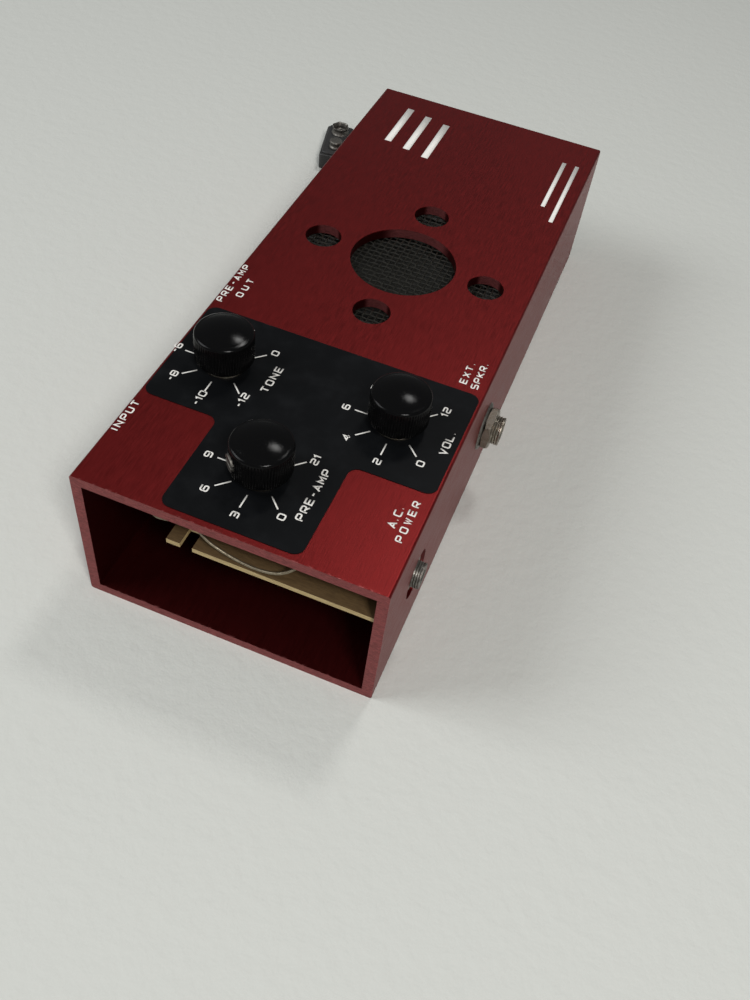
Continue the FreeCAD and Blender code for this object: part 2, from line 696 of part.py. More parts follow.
def power_socket():
    """The power socket stands clear of the tube on an insulating plate behind a large hole."""
    turn = sideways(POWER_SIDE)
    height = size.jack_height
    plate_low = inner_side - size.plate_thickness
    half = size.plate_side / 2
    plate = box("plate_blank", (size.plate_thickness, size.plate_side, size.plate_side),
                (plate_low, power_y - half, height - half))
    hole = rod("plate_hole", size.power_sleeve_radius, size.plate_thickness, (plate_low, power_y, height), turn)
    part(cut("plate", plate, hole), "power_jack_plate")

    inside = -size.plate_thickness
    tip = size.wall + size.power_sleeve_reach
    back = inside - size.jack_flange
    flange = size.power_body_width / 2 - size.jack_flange_margin / 2
    sleeve = [(size.power_socket_radius, back), (flange, back), (flange, inside),
              (size.power_sleeve_radius, inside), (size.power_sleeve_radius, tip),
              (size.power_socket_radius, tip)]
    part(turned("power_sleeve", sleeve, (inner_side, power_y, height), turn), "power_jack_sleeve")

    body_end = plate_low - size.jack_flange
    half_body = size.power_body_width / 2
    block = box("power_block", (size.power_body_length, size.power_body_width, size.power_body_width),
                (body_end - size.power_body_length, power_y - half_body, height - half_body))
    bore = rod("power_bore", size.power_socket_radius, body_end - inner_side + size.power_socket_depth,
               (inner_side - size.power_socket_depth, power_y, height), turn)
    part(cut("power_body", block, bore), "power_jack_body")


# ---- Loudspeaker ----------------------------------------------------------------------------


def loudspeaker():
    """Heights here are under the inside of the top wall, so they are negative."""
    place = (size.speaker_x, speaker_y, underside)
    mesh_low = -size.mesh_thickness
    gasket_low = mesh_low - size.gasket_thickness
    flange_top = gasket_low - size.surround_thickness
    flange_low = flange_top - size.flange_thickness
    window = size.speaker_radius - size.flange_width

    part(ring("mesh", 0, size.mesh_radius, mesh_low, 0, place), "grille_mesh")
    ring_outer = size.speaker_radius - size.ring_inset
    part(ring("gasket", window, ring_outer, gasket_low, mesh_low, place), "speaker_gasket")
    part(ring("surround", ring_outer - size.surround_width, ring_outer, flange_top, gasket_low, place),
         "speaker_surround")

    floor = flange_top - size.basket_depth
    floor_top = floor + size.basket_sheet
    sheet = size.basket_sheet
    hub = size.coil_radius + size.coil_gap + sheet
    basket = [(window, flange_top), (size.speaker_radius, flange_top), (size.speaker_radius, flange_low),
              (window + size.basket_slant, flange_low), (size.basket_floor, floor), (hub, floor),
              (hub, floor_top), (size.basket_floor - sheet, floor_top), (window, flange_low)]
    part(turned("basket", basket, place), "speaker_basket")

    neck = flange_top - size.cone_depth
    paper = size.paper
    lip = size.cone_radius - size.cone_lip
    coil = size.coil_radius
    throat = coil + size.cone_throat
    cone = [(lip, flange_top), (size.cone_radius, flange_top), (size.cone_radius, flange_top - paper),
            (lip, flange_top - paper), (throat, neck), (coil, neck), (coil, neck + paper),
            (throat - paper / 2, neck + paper)]
    part(turned("cone", cone, place), "speaker_cone")

    coil_top = neck + paper
    cap_top = coil_top + size.cap_rise
    cap = [(0, cap_top), (size.cap_shoulder, cap_top - paper), (coil, coil_top), (coil - paper, coil_top),
           (size.cap_shoulder, cap_top - paper * 2), (0, cap_top - paper)]
    part(turned("cap", cap, place), "speaker_dust_cap")
    part(ring("coil", coil - size.coil_sheet, coil, coil_top - size.coil_length, coil_top, place), "voice_coil")

    inner = coil + size.damper_gap
    rim = size.basket_floor - size.damper_inset
    foot = rim - size.damper_foot
    damper_top = floor_top + size.damper_height
    damper_low = damper_top - size.damper_sheet
    damper = [(inner, damper_low), (foot, damper_low), (foot, floor_top), (rim, floor_top),
              (rim, damper_top), (inner, damper_top)]
    part(turned("damper", damper, place), "speaker_spider")

    plate_low = floor - size.front_plate_thickness
    magnet_low = plate_low - size.magnet_thickness
    yoke_low = magnet_low - size.yoke_thickness
    part(ring("front_plate", coil + size.coil_gap, size.front_plate_radius, plate_low, floor, place),
         "magnet_front_plate")
    part(ring("magnet", size.magnet_bore, size.magnet_radius, magnet_low, plate_low, place), "speaker_magnet")
    pole = coil - size.coil_sheet - size.coil_gap
    yoke = [(0, yoke_low), (size.front_plate_radius, yoke_low), (size.front_plate_radius, magnet_low),
            (pole, magnet_low), (pole, floor), (0, floor)]
    part(turned("yoke", yoke, place), "magnet_yoke")

    strip_near = speaker_y + size.front_plate_radius + size.fit_gap
    strip_z = underside + floor - size.strip_thickness
    strip = box("strip", (size.strip_width, size.strip_length, size.strip_thickness),
                (size.speaker_x - size.strip_width / 2, strip_near, strip_z))
    pieces = [strip]
    for side in (-1, 1):
        low_x = size.speaker_x + side * size.tag_pitch / 2 - size.tag_width / 2
        low_y = strip_near + size.strip_length - size.tag_length * 0.75
        pieces.append(box(f"tag_{side + 1}", (size.tag_width, size.tag_length, size.lug_thickness),
                          (low_x, low_y, strip_z - size.lug_thickness)))
    part(fuse("strip_and_tags", pieces), "speaker_terminals")


# ---- Circuit board --------------------------------------------------------------------------


def circuit_board():
    near, far = mouth + size.board_near, mouth + size.board_far
    step = mouth + size.board_step
    side = inner_side - size.board_gap
    notch_left = size.notch_x - size.notch_width / 2
    notch_right = size.notch_x + size.notch_width / 2
    notch_end = near + size.notch_depth
    corners = [(size.board_step_x, near), (notch_left, near), (notch_left, notch_end),
               (notch_right, notch_end), (notch_right, near), (side, near), (side, far), (-side, far),
               (-side, step), (size.board_step_x, step)]
    low = size.board_top - size.board_thickness
    part(pad_body("board", corners, size.board_thickness, low), "circuit_board")


# What stands on the board, by x and the distance from the mouth
CHIPS = [("preamp_chip", 20.0, 30.0), ("amplifier_chip", -2.0, 62.0)]
FILM_CAPACITORS = [(14.0, 16.0), (26.0, 16.0), (-12.0, 36.0)]
RESISTORS = [(16.0, 37.5), (16.0, 41.0), (30.0, 33.0), (-6.0, 40.5), (4.0, 53.0), (-9.0, 54.0),
             (22.0, 78.0), (22.0, 74.0)]
# Electrolytic capacitors also by radius and height
ELECTROLYTICS = [(10.0, 46.0, 2.5, 7.0), (-8.0, 46.0, 2.5, 7.0), (12.0, 74.0, 4.0, 8.5),
                 (-16.0, 76.0, 3.2, 8.0)]


def chip(name, x, y):
    """A case on two rows of four legs."""
    top = size.board_top
    case = box(f"{name}_case", (size.chip_width, size.chip_length, size.chip_height),
               (x - size.chip_width / 2, y - size.chip_length / 2, top + size.chip_stand))
    pieces = [case]
    for side in (-1, 1):
        low_x = x + side * size.chip_width / 2 - size.pin_width / 2
        for row in range(4):
            low_y = y + (row - 1.5) * size.pin_pitch - size.pin_width / 2
            pieces.append(box(f"{name}_leg_{side + 1}_{row}",
                              (size.pin_width, size.pin_width, size.chip_stand + size.chip_height / 2),
                              (low_x, low_y, top)))
    part(fuse(f"{name}_all", pieces), name)


def components():
    """Chips, capacitors and resistors on the board."""
    top = size.board_top
    for name, x, back in CHIPS:
        chip(name, x, mouth + back)
    cans = [rod(f"can_{i}", length(radius), height, (x, mouth + back, top))
            for i, (x, back, radius, height) in enumerate(ELECTROLYTICS)]
    part(group("cans", cans), "electrolytic_capacitors")
    films = [box(f"film_{i}", (size.film_length, size.film_width, size.film_height),
                 (x - size.film_length / 2, mouth + back - size.film_width / 2, top))
             for i, (x, back) in enumerate(FILM_CAPACITORS)]
    part(group("films", films), "film_capacitors")
    bodies = [rod(f"resistor_{i}", size.resistor_radius, size.resistor_length,
                  (x - size.resistor_length / 2, mouth + back, top + size.resistor_radius), ALONG_X)
              for i, (x, back) in enumerate(RESISTORS)]
    part(group("resistor_set", bodies), "resistors")


# ---- Wires and battery snap -----------------------------------------------------------------


def internal_wires():
    """Wires that the housing holds all the way, between soldered ends."""
    low = size.board_top - size.board_thickness
    top = size.board_top
    far = mouth + size.board_far
    strip_under = underside - size.mesh_thickness - size.gasket_thickness - size.surround_thickness
    strip_under = strip_under - size.basket_depth - size.strip_thickness - size.lug_thickness
    tag_y = speaker_y + size.front_plate_radius + size.strip_length
    routes = []
    for side in (-1, 1):
        x = size.speaker_x + side * size.tag_pitch / 2
        routes.append([(x, tag_y, strip_under), (x, tag_y, strip_under - 6),
                       (x + side * 8, tag_y - 4, strip_under - 13), (side * 26, speaker_y + 12, strip_under - 16),
                       (side * 32, speaker_y - 10, strip_under - 15), (side * 33, far + 4, strip_under - 15),
                       (side * 33, far - 5, strip_under - 7), (side * 33, far - 5, low)])
    part(wires("held_speaker_wires", routes, size.wire_radius), "speaker_wires")

    links = []
    back = inner_side - size.jack_flange - size.jack_body_length
    for name, side, y in SOCKETS:
        start_x = side * (back - size.contact_reach + size.lug_width)
        start_z = size.jack_height + size.lug_thickness
        under_board = mouth + size.front_jacks + 2 if y.number < far.number else far - 4
        links.append([(start_x, y, start_z), (start_x, y, start_z + 3),
                      (start_x - side * 2, (y + under_board) / 2, start_z + 6),
                      (start_x - side * 3, under_board, low - 3), (start_x - side * 3, under_board, low)])
    part(wires("held_jack_wires", links, size.wire_radius), "jack_wires")

    front = mouth + 1.7
    arc = [(-14.0, front + 8, top), (-14.0, front + 8, top + 3), (-12.0, front + 3, top + 6.2),
           (-6.5, front, top + 5.2), (-1.5, front, top + 2.8), (4.0, front, top + 1.2),
           (10.0, front, top + 1.0), (15.5, front, top + 3.2), (19.5, front + 3, top + 5.8),
           (21.0, front + 9, top + 3.5), (21.0, front + 9, top)]
    tail = [(-16.5, front + 6, top), (-16.5, front + 6, top + 1.8), (-19.0, front + 2.5, top + 3.6),
            (-24.0, front + 2, top + 4.2), (-25.5, front + 9, top + 5.0), (-19.0, front + 14, top + 4.6),
            (-15.0, front + 16, top + 2.6), (-15.0, front + 16, top)]
    part(wires("bare_links", [arc, tail], size.wire_radius), "bare_wires")


def battery_snap():
    """The snap lies on its back beside the far end, with both contacts up."""
    turn = FreeCAD.Rotation(FreeCAD.Vector(0, 0, 1), size.snap_turn.number)
    x_axis = (cosine(size.snap_turn), sine(size.snap_turn))
    half, side = size.snap_length / 2, size.snap_width / 2
    low_x = size.snap_x - half * x_axis[0] + side * x_axis[1]
    low_y = size.snap_y - half * x_axis[1] - side * x_axis[0]
    block = box("shell_block", (size.snap_length, size.snap_width, size.snap_height), (low_x, low_y, 0), turn)
    part(block, "snap_shell")
    reach = size.contact_pitch / 2
    near = (size.snap_x - reach * x_axis[0], size.snap_y - reach * x_axis[1], size.snap_height)
    far = (size.snap_x + reach * x_axis[0], size.snap_y + reach * x_axis[1], size.snap_height)
    stud = rod("stud", size.stud_radius, size.stud_height, near)
    cup = ring("cup", size.cup_bore, size.cup_radius, 0, size.cup_height, far)
    part(group("contacts", [stud, cup]), "snap_contacts")


# Each battery lead: its name and its route by hand, from the circuit board to the snap
LEADS = [
    ("battery_lead_red", [
        (-4.0, -37.0, 35.4), (-4.0, -37.0, 28.0), (-5.0, -34.0, 18.0), (-8.0, -26.0, 9.5),
        (-14.0, -12.0, 5.8), (-21.0, 8.0, 4.7), (-27.0, 34.0, 4.6), (-27.0, 62.0, 4.9),
        (-24.0, 88.0, 5.3), (-21.5, 103.0, 7.4), (-21.0, 114.0, 8.0), (-22.5, 122.5, 4.2),
        (-27.5, 129.0, 1.4), (-36.0, 134.0, 1.2), (-46.0, 137.2, 1.7), (-56.18, 138.46, 3.2),
        (-64.93, 136.36, 3.2),
    ]),
    ("battery_lead_black", [
        (0.0, -37.0, 35.4), (0.0, -37.0, 28.0), (-1.0, -34.0, 17.5), (-4.0, -26.0, 9.0),
        (-9.0, -12.0, 5.6), (-16.0, 8.0, 4.6), (-22.0, 34.0, 4.7), (-22.5, 62.0, 4.8),
        (-19.5, 88.0, 5.4), (-17.5, 103.0, 7.5), (-17.0, 115.0, 8.2), (-17.5, 125.5, 4.2),
        (-21.5, 134.0, 1.4), (-30.5, 139.5, 1.2), (-43.0, 141.8, 1.7), (-56.88, 141.37, 3.2),
        (-65.63, 139.27, 3.2),
    ]),
]


def battery_leads():
    for name, route in LEADS:
        part(wires(name, [route], size.lead_radius), name)


def build():
    housing()
    legend()
    for name, x, y, angle in DIALS:
        dial(name, x, y, angle)
    dial_fixings()
    for name, side, y in SOCKETS:
        socket(name, side, y)
    socket_fixings()
    power_socket()
    loudspeaker()
    circuit_board()
    components()
    internal_wires()
    battery_snap()
    battery_leads()
    doc.recompute()


def check():
    for item in doc.Objects:
        if "Invalid" in item.State or "Error" in item.State:
            raise RuntimeError(f"{item.Name} failed: {item.State}")
    for piece in parts:
        if piece.Shape.isNull() or not piece.Shape.isValid() or not piece.Shape.Solids:
            raise RuntimeError(f"{piece.Label} has no valid solid")


def write():
    os.makedirs("parts", exist_ok=True)
    for piece in parts:
        piece.Shape.exportStep(f"parts/{piece.Label}.step")
        bounds = piece.Shape.BoundBox
        print(f"{piece.Label}: {len(piece.Shape.Solids)} solids, {piece.Shape.Volume:.1f} mm3,"
              f" x {bounds.XMin:.1f}..{bounds.XMax:.1f} y {bounds.YMin:.1f}..{bounds.YMax:.1f}"
              f" z {bounds.ZMin:.1f}..{bounds.ZMax:.1f}")


build()
check()
write()
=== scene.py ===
"""Looks of the pocket amplifier, made around its fixed frame. Lengths are in metres."""

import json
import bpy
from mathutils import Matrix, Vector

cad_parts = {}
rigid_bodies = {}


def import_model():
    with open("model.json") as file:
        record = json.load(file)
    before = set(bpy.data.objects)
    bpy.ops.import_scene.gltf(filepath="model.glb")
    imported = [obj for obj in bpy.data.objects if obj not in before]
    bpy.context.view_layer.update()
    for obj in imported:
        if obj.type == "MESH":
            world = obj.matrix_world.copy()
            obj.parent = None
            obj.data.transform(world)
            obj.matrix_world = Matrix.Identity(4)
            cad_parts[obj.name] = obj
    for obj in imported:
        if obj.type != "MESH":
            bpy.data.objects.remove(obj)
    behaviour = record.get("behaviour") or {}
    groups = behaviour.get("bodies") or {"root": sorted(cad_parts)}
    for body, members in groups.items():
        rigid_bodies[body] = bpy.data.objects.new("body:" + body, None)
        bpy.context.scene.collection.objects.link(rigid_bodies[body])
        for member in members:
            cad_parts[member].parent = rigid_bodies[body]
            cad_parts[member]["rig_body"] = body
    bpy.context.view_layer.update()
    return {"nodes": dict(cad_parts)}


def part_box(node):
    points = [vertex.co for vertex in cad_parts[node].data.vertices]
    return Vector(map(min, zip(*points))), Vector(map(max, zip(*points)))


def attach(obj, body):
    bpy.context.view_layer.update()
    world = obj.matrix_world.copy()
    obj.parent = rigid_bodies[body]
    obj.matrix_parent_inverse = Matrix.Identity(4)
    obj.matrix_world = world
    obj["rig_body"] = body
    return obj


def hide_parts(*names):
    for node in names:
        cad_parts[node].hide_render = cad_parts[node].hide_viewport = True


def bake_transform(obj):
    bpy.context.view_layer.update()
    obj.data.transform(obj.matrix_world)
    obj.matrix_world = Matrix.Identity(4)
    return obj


bl_info = {
    "name": "Pocket amplifier",
    "version": (1, 0, 0),
    "blender": (4, 5, 0),
    "location": "3D View > Sidebar > Amplifier",
    "description": "Knobs, sockets, loudspeaker, print and finishes of a pocket amplifier",
    "category": "Object",
}

import bpy
import numpy as np
from bpy.props import FloatProperty, FloatVectorProperty, IntProperty, PointerProperty
from mathutils import Matrix, Vector

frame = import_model()

MM = 0.001
ROOT = "amplifier"
CONE = "speaker_diaphragm"
DIALS = ("preamp", "volume", "tone")
SOCKETS = (("input", -1), ("output", -1), ("speaker_out", 1))


# ---- Places taken from the frame ------------------------------------------------------------


def span(node):
    """Lowest and highest corner of a node, as arrays."""
    low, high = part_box(node)
    return np.array(low), np.array(high)


def middle(node):
    low, high = span(node)
    return (low + high) / 2


def radius_of(node):
    """Half the width of a round node."""
    low, high = span(node)
    return (high[0] - low[0]) / 2


PANEL = span("housing")[1][2]
FILM = span("legend_film")[1][2]
# The tube's half width, half length, height and wall, in millimetres
HALF_WIDTH, HALF_LENGTH, HEIGHT = (float(edge) for edge in np.round(span("housing")[1] / MM, 3))
WALL = 3.2


# ---- Surfaces -------------------------------------------------------------------------------
# A surface is a tuple of points, four-sided faces and three-sided faces.


def surface(grid, wrap_rows=False, wrap_columns=True, caps=False):
    """Faces between the neighbours of a grid of points. A cap is a fan to an end row's middle."""
    rows, columns = grid.shape[:2]
    index = np.arange(rows * columns).reshape(rows, columns)
    ends = index[0], index[-1]
    if wrap_rows:
        index = np.vstack([index, index[:1]])
    if wrap_columns:
        index = np.hstack([index, index[:, :1]])
    corners = [index[:-1, :-1], index[:-1, 1:], index[1:, 1:], index[1:, :-1]]
    points, fans = grid.reshape(-1, 3), np.zeros((0, 3), int)
    if caps:
        hub = rows * columns
        first = [np.full(columns, hub), np.roll(ends[0], -1), ends[0]]
        last = [np.full(columns, hub + 1), ends[1], np.roll(ends[1], -1)]
        fans = np.vstack([np.stack(first, 1), np.stack(last, 1)])
        points = np.vstack([points, grid[0].mean(0), grid[-1].mean(0)])
    return points, np.stack(corners, -1).reshape(-1, 4), fans


def joined(parts):
    """Several surfaces as one, their points in a row and their faces renumbered."""
    starts = np.cumsum([0] + [len(part[0]) for part in parts[:-1]])
    points = np.vstack([part[0] for part in parts])
    quads = np.vstack([part[1] + start for part, start in zip(parts, starts)])
    fans = np.vstack([part[2] + start for part, start in zip(parts, starts)])
    return points, quads, fans


def moved(shape, place, towards=(0, 0, 1), turn=0.0):
    """The surface turned about its own Z, its Z pointed towards a direction, and moved to a place."""
    aim = Vector((0, 0, 1)).rotation_difference(Vector(towards)).to_matrix()
    matrix = np.array(aim @ Matrix.Rotation(turn, 3, "Z"))
    return shape[0] @ matrix.T + np.asarray(place, float), shape[1], shape[2]


def soften(corners, radius, steps=3, closed=False):
    """A line with each corner replaced by a short curve: the blend of second degree between two
    points that stand the radius from the corner, or less where a run is short."""
    corners = np.asarray(corners, float)
    back, ahead = np.roll(corners, 1, 0) - corners, np.roll(corners, -1, 0) - corners
    lengths = [np.linalg.norm(run, axis=1, keepdims=True) for run in (back, ahead)]
    reach = np.minimum(radius, 0.45 * np.minimum(*lengths))
    start, end = corners + back / lengths[0] * reach, corners + ahead / lengths[1] * reach
    t = np.linspace(0, 1, steps + 1)[None, :, None]
    curve = (1 - t) ** 2 * start[:, None] + 2 * t * (1 - t) * corners[:, None] + t**2 * end[:, None]
    if closed:
        return curve.reshape(-1, corners.shape[1])
    inner = curve[1:-1].reshape(-1, corners.shape[1])
    return np.vstack([corners[:1], inner, corners[-1:]])


def around(sides):
    """Angles evenly spaced over one turn."""
    return np.linspace(0, 2 * np.pi, sides, endpoint=False)


def carried(radius, height, angle):
    """A grid of points: each row's radius and height carried round Z over the angles."""
    return np.stack([radius * np.cos(angle), radius * np.sin(angle), height + 0 * angle], -1)


def lathe(profile, sides=64, hollow=False):
    """A profile of radius and height carried round Z; a hollow one is a closed ring."""
    profile = np.asarray(profile, float)
    grid = carried(profile[:, :1], profile[:, 1:], around(sides))
    return surface(grid, wrap_rows=hollow, caps=not hollow)


def washer(inner, outer, low, high, edge, sides=64):
    """A flat ring: four softened corners carried round Z."""
    corners = [(inner, low), (outer, low), (outer, high), (inner, high)]
    return lathe(soften(corners, edge, closed=True), sides, hollow=True)


def oblong(half_x, half_y, corner, steps=4):
    """A rectangle with rounded corners, anticlockwise from its +X side."""
    corners = [(half_x, -half_y), (half_x, half_y), (-half_x, half_y), (-half_x, -half_y)]
    return soften(corners, corner, steps, closed=True)


def block(size, edge, corner=None, steps=3):
    """A box on the XY plane with every edge rounded: oblongs that draw in by one less the sine,
    over a quarter turn, at its foot and at its top."""
    half_x, half_y, height = size[0] / 2, size[1] / 2, size[2]
    corner = corner or edge * 1.6
    turn = np.linspace(0, np.pi / 2, steps + 1)
    inset = edge * (1 - np.sin(turn))
    rise = edge * (1 - np.cos(turn))
    insets = np.concatenate([inset, inset[::-1]])
    heights = np.concatenate([rise, height - rise[::-1]])
    rings = [oblong(half_x - d, half_y - d, corner - d * 0.9) for d in insets]
    grid = np.concatenate([np.array(rings), np.repeat(heights[:, None, None], len(rings[0]), 1)], -1)
    return surface(grid, caps=True)


def hexagon_nut(across, bore, height, sides=72):
    """A ring whose outer radius is the flat's distance over the cosine of the angle from the
    nearest flat's middle; both outer edges slope off where it passes the flats' circle."""
    angle = around(sides)
    from_flat = (angle + np.pi / 6) % (np.pi / 3) - np.pi / 6
    outer = across / 2 / np.cos(from_flat)
    crown = np.full(sides, across / 2 * 0.97)
    slope = (outer - crown) * 0.5
    inner, flat = np.full(sides, bore), np.zeros(sides)
    radius = np.stack([inner, crown, outer, outer, crown, inner])
    low, high = flat + slope, height - slope
    level = np.stack([flat, flat, low, high, flat + height, flat + height])
    return surface(carried(radius, level, angle), wrap_rows=True)


def threaded(outer, bore, low, high, pitch=0.8 * MM, depth=0.28 * MM, sides=48):
    """A sleeve whose outside falls in by a triangle wave of height over pitch less the turn. The
    wave fades out over one pitch at each end, and both mouths of the bore are chamfered."""
    rows_per_pitch, end_drop, chamfer = 6, 0.15 * MM, 0.3 * MM
    angle = around(sides)
    rows = max(int((high - low) / pitch * rows_per_pitch), 8)
    level = np.linspace(low, high, rows)[:, None]
    phase = (level / pitch - angle / (2 * np.pi)) % 1
    fade = np.clip(np.minimum(level - low, high - level) / pitch, 0, 1)
    radius = outer - depth * np.abs(2 * phase - 1) * fade - end_drop * (1 - fade)
    rim = np.full((1, sides), bore + chamfer)
    wall = np.full((1, sides), bore)
    radius = np.vstack([radius, rim, wall, wall, rim])
    ends = [np.full((1, sides), z) for z in (high, high - chamfer, low + chamfer, low)]
    height = np.vstack([level + 0 * angle, *ends])
    return surface(carried(radius, height, angle), wrap_rows=True)


def ribbon(line, width, thickness, closed=False):
    """A flat band of rectangular section along a line in the XY plane. Each joint is moved out
    along the sum of its two normals, divided by one plus their product, up to a limit."""
    line = np.asarray(line, float)
    runs = (np.roll(line, -1, 0) - line) if closed else np.diff(line, axis=0)
    runs = runs / np.linalg.norm(runs, axis=1, keepdims=True)
    normals = np.stack([-runs[:, 1], runs[:, 0]], 1)
    if closed:
        before, after = np.roll(normals, 1, 0), normals
    else:
        before, after = np.vstack([normals[:1], normals]), np.vstack([normals, normals[-1:]])
    product = (before * after).sum(1, keepdims=True)
    side = (before + after) / np.maximum(1 + product, 0.35) * width / 2
    flat = np.zeros((len(line), 1))
    right, left = np.hstack([line - side, flat]), np.hstack([line + side, flat])
    up = np.array([0, 0, thickness])
    grid = np.stack([right, right + up, left + up, left], 1)
    return surface(grid, wrap_rows=closed, caps=not closed)


def settled(obj, body, replaces):
    """Puts a piece in the scene, on a body and the nodes that it stands for."""
    bpy.context.scene.collection.objects.link(obj)
    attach(obj, body)
    if replaces:
        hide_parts(*replaces)
    return obj


def piece(name, shape, material, body=ROOT, replaces=(), smooth=40):
    """A surface as a finished piece at the origin, riding on a body."""
    points, quads, fans = shape
    mesh = bpy.data.meshes.new(name)
    mesh.vertices.add(len(points))
    mesh.vertices.foreach_set("co", np.ascontiguousarray(points, np.float32).ravel())
    corners = np.concatenate([quads.ravel(), fans.ravel()]).astype(np.int32)
    counts = np.concatenate([np.full(len(quads), 4), np.full(len(fans), 3)])
    starts = np.concatenate([[0], np.cumsum(counts)[:-1]]).astype(np.int32)
    mesh.loops.add(len(corners))
    mesh.loops.foreach_set("vertex_index", corners)
    mesh.polygons.add(len(counts))
    mesh.polygons.foreach_set("loop_start", starts)
    mesh.update(calc_edges=True)
    mesh.validate()
    mesh.materials.append(material)
    if smooth:
        mesh.shade_smooth()
        mesh.set_sharp_from_angle(angle=np.radians(smooth))
    return settled(bpy.data.objects.new(name, mesh), body, replaces)


def rope(name, route, radius, material, body=ROOT, replaces=()):
    """A round cord along the smooth line whose control points are the route."""
    curve = bpy.data.curves.new(name, "CURVE")
    curve.dimensions = "3D"
    spline = curve.splines.new("NURBS")
    spline.points.add(len(route) - 1)
    for point, place in zip(spline.points, route):
        point.co = (*(MM * value for value in place), 1)
    spline.order_u = 3
    spline.use_endpoint_u = True
    spline.resolution_u = 10
    curve.bevel_depth = radius
    curve.bevel_resolution = 4
    curve.use_fill_caps = True
    curve.materials.append(material)
    return settled(bpy.data.objects.new(name, curve), body, replaces)


# ---- Finishes -------------------------------------------------------------------------------


class Finish:
    """One material and the small wiring that its nodes need. Patterns read the object's own
    coordinates in millimetres."""

    def __init__(self, name, color, rough, metal=0.0, **inputs):
        self.material = bpy.data.materials.new(name)
        self.material.use_nodes = True
        self.nodes, self.links = self.material.node_tree.nodes, self.material.node_tree.links
        self.shader = self.nodes["Principled BSDF"]
        self.put("Base Color", (*color, 1))
        self.put("Roughness", rough)
        self.put("Metallic", metal)
        for key, value in inputs.items():
            self.put(key.replace("_", " "), value)
        coordinates = self.nodes.new("ShaderNodeTexCoord")
        self.place = coordinates.outputs["Object"]

    def put(self, socket, value):
        self.shader.inputs[socket].default_value = value

    def scaled(self, scale):
        node = self.nodes.new("ShaderNodeMapping")
        node.inputs["Scale"].default_value = [1000 * part for part in scale]
        self.links.new(self.place, node.inputs["Vector"])
        return node.outputs["Vector"]

    def noise(self, scale, detail=4.0, rough=0.6, distort=0.0):
        node = self.nodes.new("ShaderNodeTexNoise")
        node.inputs["Scale"].default_value = 1.0
        node.inputs["Detail"].default_value = detail
        node.inputs["Roughness"].default_value = rough
        node.inputs["Distortion"].default_value = distort
        self.links.new(self.scaled(scale), node.inputs["Vector"])
        return node.outputs["Fac"]

    def math(self, operation, *values, clamp=False):
        node = self.nodes.new("ShaderNodeMath")
        node.operation = operation
        node.use_clamp = clamp
        for socket, value in zip(node.inputs, values):
            if isinstance(value, (int, float)):
                socket.default_value = value
            else:
                self.links.new(value, socket)
        return node.outputs[0]

    def fit(self, value, low, high, to_low=0.0, to_high=1.0):
        node = self.nodes.new("ShaderNodeMapRange")
        node.interpolation_type = "SMOOTHSTEP"
        limits = {"From Min": low, "From Max": high, "To Min": to_low, "To Max": to_high}
        for key, number in limits.items():
            node.inputs[key].default_value = number
        self.links.new(value, node.inputs["Value"])
        return node.outputs["Result"]

    def axis(self, name, source="place"):
        """One coordinate of the place, in millimetres, or of the surface's direction."""
        node = self.nodes.new("ShaderNodeSeparateXYZ")
        if source == "place":
            self.links.new(self.scaled((1, 1, 1)), node.inputs[0])
        else:
            self.links.new(self.nodes.new("ShaderNodeTexCoord").outputs["Normal"], node.inputs[0])
        return node.outputs[name]

    def mix(self, factor, first, second):
        node = self.nodes.new("ShaderNodeMix")
        node.data_type = "RGBA"
        self.links.new(factor, node.inputs["Factor"])
        for key, value in (("A", first), ("B", second)):
            socket = [s for s in node.inputs if s.name == key and s.type == "RGBA"][0]
            if isinstance(value, tuple):
                socket.default_value = (*value, 1)
            else:
                self.links.new(value, socket)
        return [s for s in node.outputs if s.type == "RGBA"][0]

    def paint(self, color):
        self.links.new(color, self.shader.inputs["Base Color"])

    def polish(self, value):
        self.links.new(value, self.shader.inputs["Roughness"])

    def relief(self, *layers):
        """Heights in millimetres, each with its own size, added up as bump."""
        normal = None
        for height, size in layers:
            node = self.nodes.new("ShaderNodeBump")
            node.inputs["Strength"].default_value = 1.0
            node.inputs["Distance"].default_value = size * MM
            self.links.new(height, node.inputs["Height"])
            if normal:
                self.links.new(normal, node.inputs["Normal"])
            normal = node.outputs["Normal"]
        self.links.new(normal, self.shader.inputs["Normal"])
        return self


def shade(color, share):
    """A colour, darkened or lightened by a share."""
    return tuple(share * part for part in color)


def speckled(name, color, second, rough, scale, metal=0.0, bump=0.02, **inputs):
    """A finish of two near colours in soft specks, with a fine grain and uneven polish."""
    finish = Finish(name, color, rough, metal, **inputs)
    specks = finish.noise((scale, scale, scale), 6)
    finish.paint(finish.mix(finish.fit(specks, 0.35, 0.65), color, second))
    finish.polish(finish.fit(specks, 0.3, 0.7, rough * 0.85, min(rough * 1.2, 1)))
    finish.relief((specks, bump))
    return finish.material


